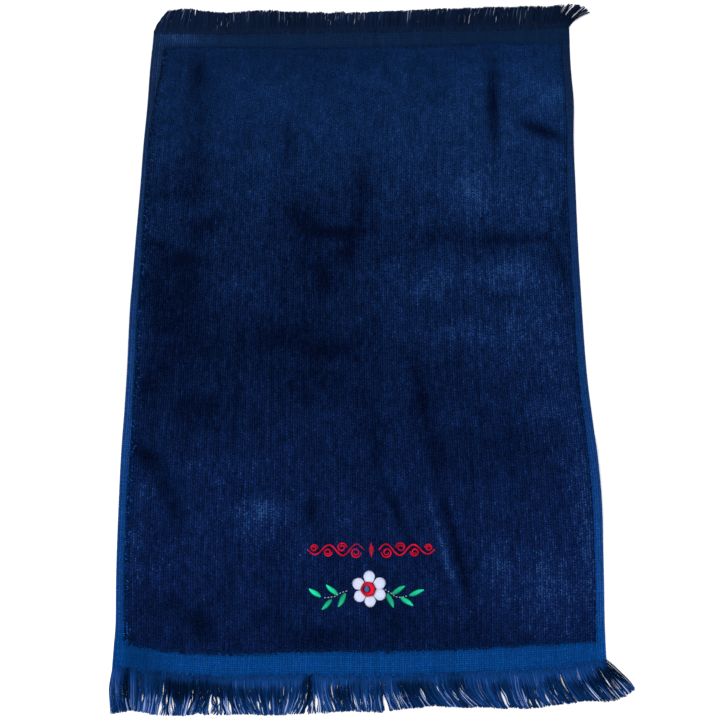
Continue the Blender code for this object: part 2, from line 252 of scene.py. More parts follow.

# Where the pile is made darker or lighter: partly its nap brushed different ways, partly painted
# shade along the creases' troughs and on one side of their ridges, with painted light on the
# other side. Each mark is a soft oval's middle, size, turn and strength; MARK_FADE is how fast
# all of them fade outwards.
MARK_FADE = 1.3
NapAndShade = namedtuple("NapAndShade", "x y half_length half_width turn strength")
NAP_AND_SHADE_MARKS = (
    NapAndShade(86, 146, 30, 4.5, 90, -1.1),
    NapAndShade(117, 129, 16, 5.5, -28, -1.3),
    NapAndShade(124, 158, 12, 12, 0, 0.2),
    NapAndShade(106, 76, 26, 16, 0, 0.4),
    NapAndShade(70, 84, 16, 18, 0, 0.5),
    NapAndShade(68, 150, 34, 12, 90, 0.2),
    NapAndShade(30, 118, 26, 12, 90, 0.2),
    NapAndShade(-44, 118, 18, 5, 90, -0.4),
    NapAndShade(-105, 172, 16, 6, 80, -0.6),
    NapAndShade(-104, 128, 44, 12, 90, -0.5),
    NapAndShade(-122, 84, 14, 4, 4, -0.5),
    NapAndShade(-97, 62, 13, 8, 30, -0.7),
    NapAndShade(-128, 51, 14, 4, -15, -0.5),
    NapAndShade(-110, 40, 14, 8, 0, -1.0),
    NapAndShade(-112, 92, 26, 22, 0, -0.3),
    NapAndShade(-112, 12, 50, 24, 90, -0.3),
    NapAndShade(-28, 42, 36, 30, 90, -0.4),
    NapAndShade(-45, -14, 48, 22, 0, -0.3),
    NapAndShade(104, 28, 30, 26, 90, 0.3),
    NapAndShade(76, -6, 46, 16, 0, 0.2),
    NapAndShade(0, -191, 130, 8, 0, -0.25),
    NapAndShade(98, -10, 210, 46, 90, 0.15),
    NapAndShade(108, 150, 40, 26, 90, 0.2),
    NapAndShade(-112, 18, 24, 20, 0, -0.5),
    NapAndShade(-122, -3, 10, 8, 0, -0.5),
    NapAndShade(-123, -38, 16, 8, 70, -0.7),
    NapAndShade(-96, -56, 18, 10, 0, -0.6),
    NapAndShade(-100, -16, 22, 14, 0, -0.4),
    NapAndShade(-133, -8, 18, 4, 90, 0.4),
    NapAndShade(-82, 22, 16, 10, 0, 0.4),
    NapAndShade(2, 92, 22, 6, 90, -0.6),
    NapAndShade(-2, 70, 16, 7, 90, -0.5),
    NapAndShade(-38, 70, 13, 9, -50, -0.8),
    NapAndShade(-18, 59, 22, 5, 0, -1.1),
    NapAndShade(-8, 48, 12, 7, 90, -0.7),
    NapAndShade(-24, 26, 14, 8, 80, -0.6),
    NapAndShade(48, 56, 16, 6, 0, -0.4),
    NapAndShade(92, 53, 30, 4.5, 0, -0.8),
    NapAndShade(125, 37, 20, 4.5, -65, -0.6),
    NapAndShade(36, 24, 30, 16, 0, 0.5),
    NapAndShade(84, 30, 22, 10, 0, 0.4),
    NapAndShade(42, 6, 16, 5, 10, -0.3),
    NapAndShade(88, 14, 14, 3, 0, -0.3),
    NapAndShade(60, -10, 20, 8, 0, 0.4),
    NapAndShade(90, -26, 26, 14, 10, 0.4),
    NapAndShade(118, -30, 34, 16, 90, 0.4),
    NapAndShade(-50, -12, 20, 8, 0, -0.6),
    NapAndShade(-16, -19, 20, 7, 0, -0.9),
    NapAndShade(-26, -40, 24, 12, 0, -0.5),
    NapAndShade(37, -48, 26, 5, -82, -0.7),
    NapAndShade(48, -86, 14, 6, -70, -0.5),
    NapAndShade(20, -117, 20, 3.2, -68, -1.3),
    NapAndShade(8, -78, 24, 4, -88, -0.5),
    NapAndShade(53, -134, 42, 2.8, -77, -1.2),
    NapAndShade(47.5, -143, 34, 2.2, -75, 1.0),
    NapAndShade(36, -160, 12, 6, 90, 0.3),
    NapAndShade(80, -84, 30, 20, 0, -0.3),
    NapAndShade(108, -60, 16, 12, 0, 0.4),
    NapAndShade(126, -96, 44, 8, 90, 0.5),
    NapAndShade(131, -140, 56, 5, 90, 0.4),
    NapAndShade(-53, -117, 12, 10, 0, 0.7),
    NapAndShade(-70, -122, 22, 16, 0, 0.5),
    NapAndShade(-78, -88, 30, 14, 0, 0.3),
    NapAndShade(-10, -122, 20, 8, 90, 0.3),
    NapAndShade(-32, -140, 12, 6, 90, 0.7),
    NapAndShade(-29, -117, 9, 3, 90, -1.2),
    NapAndShade(-126, -84, 8, 5, -35, -1.5),
    NapAndShade(-113, -106, 26, 6, -68, -0.9),
    NapAndShade(-128, -104, 10, 6, 90, 0.6),
    NapAndShade(-130, -138, 30, 5, 90, 0.5),
    NapAndShade(-91, -182, 9, 7, -60, -1.5),
    NapAndShade(-54, -178, 9, 6, 0, -0.9),
    NapAndShade(-112, -172, 18, 9, 0, -0.5),
    NapAndShade(-26, -190, 24, 7, 0, -0.7),
    NapAndShade(20, -180, 14, 9, 0, -0.5),
    NapAndShade(60, -186, 14, 6, 0, -0.2),
    NapAndShade(110, -165, 34, 24, 90, 0.7),
    NapAndShade(78, -154, 22, 12, 90, 0.5),
    NapAndShade(2, -140, 60, 1.6, 90, 0.4),
)

# The same kind of marks on the bands and selvedges, here mostly painted light and shade:
# painted shade at the near band's left corner, where the hem dips, and in a line along that
# hem, and painted light at the far band's left end and along stretches of both selvedges.
BAND_LIGHT_AND_SHADE_MARKS = (
    NapAndShade(-123, -202, 14, 9, -12, -0.8),
    NapAndShade(-98, -212.5, 22, 2.6, -3, -0.5),
    NapAndShade(-136, -198, 14, 3, 90, 0.3),
    NapAndShade(95, -206, 70, 12, 0, 0.1),
    NapAndShade(-122, 200, 22, 7, -6, 0.9),
    NapAndShade(-133, 180, 20, 6, 90, 0.4),
    NapAndShade(-136, 90, 60, 6, 90, 0.2),
    NapAndShade(-138, -70, 80, 6, 90, 0.4),
    NapAndShade(90, 200, 70, 9, 0, -0.2),
    NapAndShade(136, 190, 40, 6, 90, -0.2),
    NapAndShade(136, -30, 70, 6, 90, 0.05),
    NapAndShade(136, -170, 90, 6, 90, 0.45),
    NapAndShade(-20, -206, 90, 11, 0, 0.15),
)

# How light the pile is along the cloth, before its marks: partly painted sheen, lighter towards
# the far end where the pile is seen at a more grazing angle.
Level = namedtuple("Level", "along tone")
LEVELS = (
    Level(-200.0, 0.85),
    Level(-160.0, 0.90),
    Level(-110.0, 0.96),
    Level(-50.0, 0.80),
    Level(0.0, 0.94),
    Level(60.0, 1.02),
    Level(120.0, 1.44),
    Level(195.0, 1.22),
)

# Where the fringe's strands leave the hem, pass halfway and end.
Strand = namedtuple("Strand", "root middle tip_x tip_y")
NEAR_STRANDS = (
    Strand(-139.5, -140.2, -138.8, -231.0),
    Strand(-135.3, -136.4, -133.5, -230.0),
    Strand(-124.0, -123.2, -123.8, -229.6),
    Strand(-117.3, -117.4, -118.8, -230.7),
    Strand(-110.0, -110.1, -111.6, -231.6),
    Strand(-104.9, -104.5, -103.5, -232.2),
    Strand(-98.2, -98.4, -99.8, -232.3),
    Strand(-91.5, -92.0, -95.2, -232.1),
    Strand(-85.4, -85.9, -88.1, -231.6),
    Strand(-81.5, -80.6, -79.8, -231.6),
    Strand(-74.2, -73.4, -70.4, -231.8),
    Strand(-55.8, -55.1, -52.7, -231.7),
    Strand(-48.6, -48.4, -48.2, -231.5),
    Strand(-41.3, -41.7, -43.8, -231.4),
    Strand(-35.2, -35.6, -39.1, -231.3),
    Strand(-28.5, -28.4, -30.6, -231.1),
    Strand(-25.2, -24.5, -22.8, -231.0),
    Strand(-17.9, -17.3, -14.5, -230.3),
    Strand(-5.1, -4.5, -1.8, -229.9),
    Strand(3.3, 3.8, 4.8, -230.2),
    Strand(10.0, 10.7, 12.6, -230.6),
    Strand(16.7, 17.7, 21.5, -228.9),
    Strand(31.2, 32.4, 37.5, -227.9),
    Strand(58.5, 60.5, 68.0, -228.6),
    Strand(75.8, 77.2, 81.3, -228.8),
    Strand(91.5, 92.8, 96.8, -228.6),
    Strand(102.7, 104.5, 110.1, -226.9),
    Strand(117.5, 120.8, 127.5, -224.9),
    Strand(125.5, 129.4, 136.9, -225.0),
    Strand(131.5, 137.6, 144.7, -223.8),
    Strand(136.5, 145.6, 151.9, -219.3),
)
FAR_STRANDS = (
    Strand(-135.6, -133.9, -130.5, 215.2),
    Strand(-132.0, -130.3, -127.7, 219.4),
    Strand(-126.7, -125.0, -122.1, 220.8),
    Strand(-112.1, -111.8, -110.8, 221.5),
    Strand(-102.2, -101.7, -101.7, 219.6),
    Strand(-79.0, -79.1, -79.7, 218.9),
    Strand(-71.0, -71.2, -71.4, 219.6),
    Strand(-59.1, -59.2, -59.4, 219.8),
    Strand(-35.2, -35.3, -35.0, 218.5),
    Strand(0.5, 0.6, 1.3, 218.5),
    Strand(27.1, 27.2, 27.9, 219.3),
    Strand(47.0, 47.4, 48.6, 220.5),
    Strand(76.8, 77.7, 80.0, 221.5),
    Strand(110.0, 111.0, 112.7, 222.4),
    Strand(123.3, 125.0, 127.4, 222.7),
    Strand(130.6, 133.0, 136.8, 223.2),
    Strand(134.6, 138.3, 144.8, 223.4),
    Strand(137.2, 142.3, 150.0, 221.1),
    Strand(139.2, 144.6, 155.0, 216.4),
)

# Where strands part and show the floor: where the slit meets the tips, the shares of the
# strands' length at which it opens and closes, and its width.
Parting = namedtuple("Parting", "tip start end width")
PARTING_REACH = 2.4
NEAR_PARTINGS = (
    Parting(-122.8, 0.52, 0.80, 1.1),
    Parting(-112.5, 0.74, 1.04, 1.5),
    Parting(-109.5, 0.50, 0.78, 1.1),
    Parting(-105.0, 0.46, 0.96, 1.6),
    Parting(-97.0, 0.48, 0.96, 1.4),
    Parting(-91.0, 0.42, 0.74, 1.1),
    Parting(-87.4, 0.66, 0.98, 1.3),
    Parting(-84.5, 0.46, 1.06, 2.1),
    Parting(-79.5, 0.42, 0.80, 1.2),
    Parting(-77.5, 0.80, 1.10, 1.7),
    Parting(-72.5, 0.60, 1.00, 1.5),
    Parting(-63.0, 0.74, 1.04, 1.2),
    Parting(-56.5, 0.58, 0.94, 1.4),
    Parting(-50.5, 0.62, 0.98, 1.4),
    Parting(-43.0, 0.56, 0.80, 1.1),
    Parting(-38.5, 0.72, 1.02, 1.3),
    Parting(-31.0, 0.78, 1.06, 1.4),
    Parting(-25.5, 0.44, 0.98, 1.6),
    Parting(-20.5, 0.62, 0.90, 1.1),
    Parting(-14.8, 0.52, 1.04, 1.7),
    Parting(-9.8, 0.56, 0.98, 1.3),
    Parting(-2.5, 0.52, 1.00, 1.5),
    Parting(4.5, 0.60, 0.86, 1.0),
    Parting(13.8, 0.40, 1.90, 3.4),
    Parting(21.4, 0.36, 1.10, 1.8),
    Parting(24.0, 0.55, 1.04, 1.3),
    Parting(27.0, 0.66, 1.04, 1.1),
    Parting(38.2, 0.32, 1.04, 1.4),
    Parting(58.0, 0.70, 1.04, 1.2),
    Parting(64.6, 0.54, 0.96, 1.1),
    Parting(67.8, 0.30, 1.00, 1.5),
    Parting(81.0, 0.48, 1.10, 1.9),
    Parting(94.4, 0.68, 1.06, 1.4),
    Parting(98.6, 0.74, 1.04, 1.1),
    Parting(105.0, 0.58, 1.02, 1.3),
    Parting(116.0, 0.56, 1.02, 1.2),
    Parting(127.2, 0.52, 0.84, 1.0),
    Parting(137.2, 0.54, 1.00, 1.2),
    Parting(146.0, 0.34, 1.10, 1.8),
)
FAR_PARTINGS = (
    Parting(-109.0, 0.72, 1.15, 0.9),
    Parting(-62.0, 0.84, 1.15, 0.7),
    Parting(-27.0, 0.86, 1.15, 0.7),
    Parting(138.0, 0.50, 1.20, 1.2),
    Parting(143.0, 0.50, 1.20, 1.4),
    Parting(148.5, 0.42, 1.25, 1.6),
)

# Small slits between the large ones: how many there are, over which stretch of the hem.
Frayed = namedtuple("Frayed", "left right slits")
NEAR_FRAYED = (
    Frayed(-116.0, -66.0, 34),
    Frayed(-66.0, 12.0, 24),
    Frayed(12.0, 128.0, 22),
)
FAR_FRAYED = (
    Frayed(124.0, 150.0, 5),
)

# The fringes' threads: how many locks they hang in, where they start and how unlike they are.
FRINGE_LOCKS = 100
LOCK_WIDE = (3.5, 8.5)
THREAD_STEPS = 10
THREAD_INSET = (0.4, 3.6)
THREAD_CRIMP = (0.1, 0.75)
THREAD_WAVES = (1.0, 2.6)
THREAD_LAYER = (0.3, 1.15)
THREAD_TAPER = 0.15
THREAD_SIDE_INSET = 0.3
THREAD_TIP_SPREAD = 0.5
THREAD_MIDDLE_SPREAD = 0.2
THREAD_SHORTER = 0.7
THREAD_SIZES = (0.85, 1.2)
THREAD_OFF_FLOOR = 0.02
LOCK_GATHER = (0.0, 0.05)
LOCK_TIP_SPREAD = 0.1
LOCK_REACH = (-0.5, 0.35)
ROOT_RISE = 0.35

# The small slits' starts and lengths, as shares of the strands' length, and their widths.
SLIT_STARTS = (0.45, 0.80)
SLIT_LENGTHS = (0.14, 0.32)
SLIT_WIDTHS = (0.70, 1.05)

# The threads' tones: how far along them their shadow, tips and pale lint begin and how softly.
ROOT_TONE = 0.85
SHADOW_SPREAD = 0.05
SHADOW_EARLIER = 0.10
SHADOW_SOFT = 0.16
TIP_FROM = 0.55
TIP_SOFT = 0.35
LOCK_TONES = (0.85, 1.15)
OWN_TONE_SOONER = 2.5
# Threads in the lower layer, under the others, are painted darker: painted shade.
LOW_LAYER_SHADE = 0.75
PALE_SHARE = 0.75
PALE_TONE = (1.3, 7.0)
PALE_FROM = 0.42
PALE_SOFT = 0.22
FRINGE_PALING = 0.35

# How light the strands are: where along them their shadow starts, in it, and at their tips.
Shade = namedtuple("Shade", "across start middle tip")
NEAR_SHADES = (
    Shade(-142.0, 0.00, 0.70, 0.60),
    Shade(-138.2, 0.00, 1.10, 0.70),
    Shade(-134.5, 0.00, 0.50, 0.45),
    Shade(-130.3, 0.00, 0.10, 0.25),
    Shade(-128.0, 0.00, 0.60, 0.70),
    Shade(-124.0, 0.00, 0.25, 0.60),
    Shade(-119.0, 0.00, 0.50, 1.10),
    Shade(-115.0, 0.00, 0.30, 0.90),
    Shade(-112.5, 0.04, 0.22, 0.80),
    Shade(-80.0, 0.10, 0.22, 0.85),
    Shade(-66.0, 0.26, 0.26, 0.70),
    Shade(-50.0, 0.30, 0.24, 0.65),
    Shade(-42.0, 0.28, 0.38, 0.70),
    Shade(-36.0, 0.28, 0.40, 0.75),
    Shade(-31.2, 0.00, 0.10, 0.35),
    Shade(-28.5, 0.00, 0.10, 0.40),
    Shade(-25.3, 0.12, 0.65, 0.85),
    Shade(-21.0, 0.28, 0.80, 0.90),
    Shade(-16.0, 0.30, 0.30, 0.55),
    Shade(-7.0, 0.30, 0.20, 0.60),
    Shade(-2.5, 0.10, 0.45, 0.70),
    Shade(5.0, 0.20, 0.70, 0.70),
    Shade(11.0, 0.15, 0.32, 0.60),
    Shade(15.5, 0.18, 0.85, 0.70),
    Shade(20.0, 0.15, 0.40, 0.50),
    Shade(37.0, 0.14, 0.36, 0.55),
    Shade(46.0, 0.18, 0.58, 0.62),
    Shade(52.0, 0.05, 0.26, 0.42),
    Shade(57.0, 0.08, 0.24, 0.42),
    Shade(61.0, 0.20, 0.45, 0.60),
    Shade(71.0, 0.32, 0.60, 0.60),
    Shade(81.0, 0.25, 0.34, 0.48),
    Shade(86.0, 0.34, 0.55, 0.55),
    Shade(90.0, 0.34, 0.32, 0.45),
    Shade(98.0, 0.40, 0.58, 0.60),
    Shade(109.0, 0.20, 0.36, 0.45),
    Shade(114.0, 0.38, 0.44, 0.50),
    Shade(118.0, 0.42, 0.24, 0.45),
    Shade(130.0, 0.38, 0.22, 0.50),
    Shade(138.0, 0.18, 0.10, 0.50),
    Shade(146.0, 0.08, 0.14, 0.75),
    Shade(152.0, 0.05, 0.50, 0.75),
)
FAR_SHADES = (
    Shade(-140.0, 0.05, 0.62, 0.70),
    Shade(-100.0, 0.05, 0.48, 0.55),
    Shade(-60.0, 0.05, 0.45, 0.55),
    Shade(0.0, 0.05, 0.45, 0.60),
    Shade(60.0, 0.05, 0.42, 0.55),
    Shade(125.0, 0.05, 0.36, 0.45),
    Shade(150.0, 0.05, 0.25, 0.45),
)

# All that makes up one fringe. The near one hangs towards -1 along Y.
Fringe = namedtuple("Fringe", "strands partings frayed shades unlike outward seed")
NEAR_FRINGE = Fringe(NEAR_STRANDS, NEAR_PARTINGS, NEAR_FRAYED, NEAR_SHADES, 0.45, -1, 71)
FAR_FRINGE = Fringe(FAR_STRANDS, FAR_PARTINGS, FAR_FRAYED, FAR_SHADES, 0.25, 1, 72)

# The embroidered sprig, in millimetres.
FLOWER = (4.3, -163.0)
Petal = namedtuple("Petal", "turn reach wide")
PETALS = (
    Petal(90.0, 10.7, 6.5),
    Petal(29.0, 10.4, 6.7),
    Petal(-27.0, 10.3, 6.7),
    Petal(-86.0, 10.1, 6.4),
    Petal(-144.0, 10.1, 6.6),
    Petal(154.0, 10.5, 6.8),
)
FLOWER_SEED = 81
PETAL_STITCHES = 23
RING = (3.4, -163.1)
RING_OUTER = 4.3
RING_STITCHES = 46
EYE = (2.9, -163.0)
EYE_RADIUS = 1.8
EYE_STITCHES = 11
LEAF_SEED = 91
LEAF_STITCHES = 25
STITCH_FOOT = 2.1
STITCH_CROWN = 3.35
EYE_CROWN = 3.25
STITCH_STEPS = 7
# Painted shade at the stitches' ends, where they sink into the pile.
STITCH_SUNK_SHADE = 0.62

# A petal's stitches: how far inside its outline they lie, where they start and bend, how far
# they spread there and at their ends, how high the outer ones stand, and how little painted
# shade darkens their sunk ends.
PETAL_INSET = 0.2
PETAL_START = 3.6
PETAL_BEND = 7.2
PETAL_START_SPREAD = 0.58
PETAL_BEND_SPREAD = 1.20
PETAL_END_SPREAD = 0.92
PETAL_EDGE_CROWN = 2.8
PETAL_SUNK_SHADE = 0.95
LEAF_SLANT = 0.10
LEAF_END_CROWN = 2.75
STEM_PITCH = 1.85
STEM_DASH = 1.0
STEM_CROWN = 2.90
STEM_TONE = 0.75
WHITE_SHINE = (0.8, 0.82, 0.9)
RED_SHINE = (0.9, 0.05, 0.08)
GREY_SHINE = (0.3, 0.4, 0.6)

Leaf = namedtuple("Leaf", "tip_x tip_y root_x root_y wide shine")
LEAVES = (
    Leaf(-30.0, -162.5, -23.2, -167.3, 3.0, 1.30),
    Leaf(-20.3, -160.3, -13.4, -166.4, 3.0, 1.20),
    Leaf(-22.7, -174.3, -17.0, -168.7, 2.9, 0.80),
    Leaf(-13.5, -173.0, -9.1, -165.1, 3.3, 0.80),
    Leaf(17.9, -173.5, 14.5, -165.2, 3.4, 0.75),
    Leaf(24.8, -161.3, 16.9, -165.9, 3.1, 0.85),
    Leaf(29.1, -172.6, 21.9, -167.4, 3.1, 1.15),
    Leaf(35.5, -163.5, 26.9, -166.6, 2.9, 1.15),
)

Point = namedtuple("Point", "x y")
STEMS = (
    (
        Point(-8.2, -163.9),
        Point(-11.6, -164.9),
        Point(-13.5, -165.9),
        Point(-15.0, -167.1),
        Point(-17.6, -167.4),
        Point(-20.4, -167.8),
        Point(-22.4, -167.4),
    ),
    (
        Point(13.2, -163.2),
        Point(16.9, -165.4),
        Point(18.9, -167.3),
        Point(21.8, -167.7),
        Point(24.5, -167.3),
        Point(27.2, -166.3),
    ),
)

# The stitched scroll over the sprig: a wave with a curl in each hollow, alike on both sides.
SCROLL_SEED = 101
SCROLL_MIDDLE = (5.6, -140.6)
SCROLL_START = 4.4
SCROLL_WAVE = 16.0
SCROLL_SWING = 3.3
CURLS = 4
CURL_RADIUS = 3.0
CURL_DROP = 1.6
CURL_HALF_TURNS = 2.9
CURL_CLOSING = 0.66
CURL_SHRINKING = 0.1
SATIN_WIDE = 1.0
SATIN_PITCH = 0.36
SCROLL_CROWN = 3.1
SCROLL_STEPS = 5
SCROLL_MOTTLE = 0.5
SCROLL_SHINE = (0.85, 0.12, 0.24)
LOZENGE = (2.4, 4.2)
LOZENGE_STITCHES = 25

# The camera's place: how high over the towel it looks from, how far, and at what point. Then
# the floor, in metres.
CAMERA_RISE = 72.0
CAMERA_ROLL = -0.248
CAMERA_AWAY = 0.7437
CAMERA_AIM = (-0.0059, -0.0210, 0.0)
CAMERA_LENS = 61.44
CAMERA_SENSOR = 36.0
FLOOR_SIZE = 8.0
FLOOR_ROUGHNESS = 0.9

# The two soft lights: where they stand, what they are turned to, their size and colour.
Lamp = namedtuple("Lamp", "name place aim size colour")
NEAR_LAMP = Lamp(
    "near_light", (-0.25, -0.75, 0.75), (0.0, -0.15, 0.0), (0.7, 0.5), (1.0, 0.98, 0.95)
)
FAR_LAMP = Lamp(
    "far_light", (0.35, 1.1, 0.9), (0.0, 0.1, 0.0), (1.2, 0.6), (0.9, 0.95, 1.0)
)


def smooth_table(rows, key, value):
    """A function of arrays through one column of a table, with no kinks between its rows."""
    where = np.array([getattr(row, key) for row in rows], float)
    what = np.array([getattr(row, value) for row in rows], float)
    slope = np.gradient(what, where)

    def read(at):
        """The column's value at each place, held beyond the table's ends."""
        at = np.clip(at, where[0], where[-1])
        i = np.clip(np.searchsorted(where, at, side="right") - 1, 0, len(where) - 2)
        span = where[i + 1] - where[i]
        t = (at - where[i]) / span
        ends = what[i] * (1 + 2 * t) * (1 - t) ** 2 + what[i + 1] * t * t * (3 - 2 * t)
        return ends + span * (slope[i] * t * (1 - t) ** 2 - slope[i + 1] * t * t * (1 - t))

    return read


left_edge = smooth_table(SIDES, "along", "left")
right_edge = smooth_table(SIDES, "along", "right")
left_selvedge = smooth_table(SIDES, "along", "left_selvedge")
right_selvedge = smooth_table(SIDES, "along", "right_selvedge")
near_hem = smooth_table(ENDS, "across", "near")
far_hem = smooth_table(ENDS, "across", "far")
near_band = smooth_table(ENDS, "across", "near_band")
far_band = smooth_table(ENDS, "across", "far_band")
pile_level = smooth_table(LEVELS, "along", "tone")


def value_noise(x, y, cell, seed):
    """Smooth noise from -1 to 1 that takes one random value at each corner of a square grid."""
    side = 512
    lattice = np.random.default_rng(seed).uniform(-1, 1, (side, side))
    u, v = np.asarray(x) / cell, np.asarray(y) / cell
    i, j = np.floor(u).astype(int), np.floor(v).astype(int)
    s, t = u - i, v - j
    s, t = s * s * (3 - 2 * s), t * t * (3 - 2 * t)
    near = lattice[i % side, j % side] * (1 - s) + lattice[(i + 1) % side, j % side] * s
    far_row = (j + 1) % side
    far = lattice[i % side, far_row] * (1 - s) + lattice[(i + 1) % side, far_row] * s
    return near * (1 - t) + far * t


def clouds(x, y, cell, seed, octaves=3):
    """Several sizes of smooth noise, each finer one weaker."""
    total = sum(
        value_noise(x, y, cell / 2**k, seed + k) / 1.6**k for k in range(octaves)
    )
    return total / sum(1 / 1.6**k for k in range(octaves))


def mottle(x, y, *kinds):
    """Several kinds of mottle together."""
    return sum(kind.depth * clouds(x, y, kind.cell, kind.seed) for kind in kinds)


def crease_heights(crease, x, y):
    """What one crease adds at each point: a soft hump across it that fades past its ends."""
    run_x, run_y = crease.x2 - crease.x1, crease.y2 - crease.y1
    length = math.hypot(run_x, run_y)
    along = ((x - crease.x1) * run_x + (y - crease.y1) * run_y) / length
    aside = ((x - crease.x1) * run_y - (y - crease.y1) * run_x) / length
    beyond = np.maximum(np.maximum(-along, along - length), 0)
    away = np.minimum(np.hypot(aside, beyond) / crease.half_width, 1)
    return crease.height * np.cos(away * math.pi / 2) ** 2


def lift_and_dent(x, y):
    """How far the cloth stands off the floor at each point, and how far its pile is pressed."""
    heights = np.array([crease_heights(crease, x, y) for crease in CREASES])
    calm = np.clip(np.minimum(y - near_hem(x), far_hem(x) - y) / HEM_CALM, 0, 1)
    return calm * np.maximum(heights.max(0), 0), np.maximum(-heights.min(0), 0)


def pile_sides(y):
    """The pile's left and right limits."""
    return left_edge(y) + left_selvedge(y), right_edge(y) - right_selvedge(y)


def pile_ends(x):
    """The pile's near and far limits, which wander a little from pick to pick."""
    near = near_hem(x) + near_band(x) + 0.45 * value_noise(x, 0 * x, 5.0, 33)
    far = far_hem(x) - far_band(x) + 0.35 * value_noise(x, 0 * x, 6.0, 34)
    return near, far


def brushed_and_shaded(marks, x, y):
    """How much lighter or darker all the marks together make each point: brushed nap, painted
    light and painted shade.
    """
    strength = np.zeros(len(x))
    for mark in marks:
        turn = math.radians(mark.turn)
        along = (x - mark.x) * math.cos(turn) + (y - mark.y) * math.sin(turn)
        aside = (y - mark.y) * math.cos(turn) - (x - mark.x) * math.sin(turn)
        away = (along / mark.half_length) ** 2 + (aside / mark.half_width) ** 2
        strength += mark.strength * np.exp(-MARK_FADE * away)
    return strength


def cloth_point(s, t):
    """The place on the cloth at a share of its width and of its length."""
    level = (t - 0.5) * CLOTH_LONG
    x = left_edge(level) + s * (right_edge(level) - left_edge(level))
    y = near_hem(x) + t * (far_hem(x) - near_hem(x))
    return x, y


def pile_point(s, t):
    """The place in the pile at a share of its width and of its length."""
    level = (t - 0.5) * PILE_LONG
    left, right = pile_sides(level)
    x = left + s * (right - left)
    near, far = pile_ends(x)
    return x, near + t * (far - near)


def petal_outline(petal, x, y):
    """Whether each point, counted from the flower's middle, lies under a petal."""
    turn = math.radians(petal.turn)
    along = x * math.cos(turn) + y * math.sin(turn)
    aside = y * math.cos(turn) - x * math.sin(turn)
    half = petal.wide / 2
    end = petal.reach - half
    return np.hypot(np.maximum(along - end, 0), aside) < np.where(along > 0, half - 0.3, 0)


def under_stitches(x, y):
    """Whether each point lies under the flower or a leaf, where the pile is sewn down."""
    covered = np.zeros(len(x), bool)
    for petal in PETALS:
        covered |= petal_outline(petal, x - FLOWER[0], y - FLOWER[1])
    for leaf in LEAVES:
        run_x, run_y = leaf.tip_x - leaf.root_x, leaf.tip_y - leaf.root_y
        length = math.hypot(run_x, run_y)
        mid_x, mid_y = (leaf.tip_x + leaf.root_x) / 2, (leaf.tip_y + leaf.root_y) / 2
        along = ((x - mid_x) * run_x + (y - mid_y) * run_y) / length
        aside = ((x - mid_x) * run_y - (y - mid_y) * run_x) / length
        covered |= (along / (length / 2)) ** 2 + (aside / (leaf.wide / 2)) ** 2 < 0.9
    return covered


def settings():
    """The sizes and colours that the panel shows."""
    return bpy.context.scene.fingertip_towel


def add_tone(mesh, tone):
    """Keep how light each point is, for the materials."""
    layer = mesh.attributes.new("tone", "FLOAT", "POINT")
    layer.data.foreach_set("value", np.asarray(tone, np.float32))


def add_bake_map(mesh, placed, corners):
    """Lay the mesh's texture map flat, as seen from above."""
    low, high = placed.min(0)[:2], placed.max(0)[:2]
    flat = (placed[corners, :2] - low) / (high - low) * 0.98 + 0.01
    layer = mesh.uv_layers.new(name=BAKE_MAP)
    layer.data.foreach_set("uv", flat.astype(np.float32).ravel())


def new_piece(name, points, faces, tone):
    """A mesh piece in the frame, from points in millimetres on the cloth, with a tone for each."""
    placed = (np.asarray(points) + (*CLOTH_MIDDLE, 0.0)) * MM
    corners = np.concatenate([face.ravel() for face in faces]).astype(np.int32)
    sizes = np.concatenate([np.full(len(face), face.shape[1]) for face in faces])
    starts = np.concatenate([[0], np.cumsum(sizes)[:-1]]).astype(np.int32)
    mesh = bpy.data.meshes.new(name)
    mesh.vertices.add(len(placed))
    mesh.vertices.foreach_set("co", placed.astype(np.float32).ravel())
    mesh.loops.add(len(corners))
    mesh.loops.foreach_set("vertex_index", corners)
    mesh.polygons.add(len(sizes))
    mesh.polygons.foreach_set("loop_start", starts)
    mesh.polygons.foreach_set("use_smooth", np.full(len(sizes), True))
    mesh.update(calc_edges=True)
    add_tone(mesh, tone)
    add_bake_map(mesh, placed, corners)
    piece = bpy.data.objects.new(name, mesh)
    bpy.context.scene.collection.objects.link(piece)
    return piece


def finish_piece(piece, material, replaces=()):
    """Give a piece its material and slot, and hide the solids that it stands for."""
    piece.data.materials.clear()
    piece.data.materials.append(material)
    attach(piece, BODY)
    for node in replaces:
        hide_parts(node)


Shape = namedtuple("Shape", "points faces")


def open_cone(sides):
    """A cone without a base, one high and one in radius, modelled once to be copied."""
    bpy.ops.mesh.primitive_cone_add(
        vertices=sides, radius1=1.0, depth=1.0, end_fill_type="NOTHING", location=(0.0, 0.0, 0.5)
    )
    cone = bpy.context.active_object
    bpy.ops.object.transform_apply(location=True, rotation=False, scale=False)
    points = np.array([vert.co for vert in cone.data.vertices])
    faces = np.array([face.vertices[:] for face in cone.data.polygons])
    bpy.data.objects.remove(cone)
    return Shape(points, faces)


def copies(shape, places, sizes, yaw, lean):
    """Many copies of a shape: its points and faces, each copy sized, turned, leant and placed."""
    turn_x, turn_y = np.cos(yaw), np.sin(yaw)
    matrix = np.zeros((len(places), 3, 3))
    matrix[:, 0, 0] = sizes[:, 0] * turn_x
    matrix[:, 0, 1] = -sizes[:, 1] * turn_y
    matrix[:, 1, 0] = sizes[:, 0] * turn_y
    matrix[:, 1, 1] = sizes[:, 1] * turn_x
    matrix[:, 2, 2] = sizes[:, 2]
    matrix[:, :2, 2] = lean * sizes[:, 2:3]
    points = np.einsum("nij,vj->nvi", matrix, shape.points) + places[:, None]
    first = np.arange(len(places))[:, None, None] * len(shape.points)
    return points.reshape(-1, 3), (shape.faces[None] + first).reshape(-1, shape.faces.shape[1])


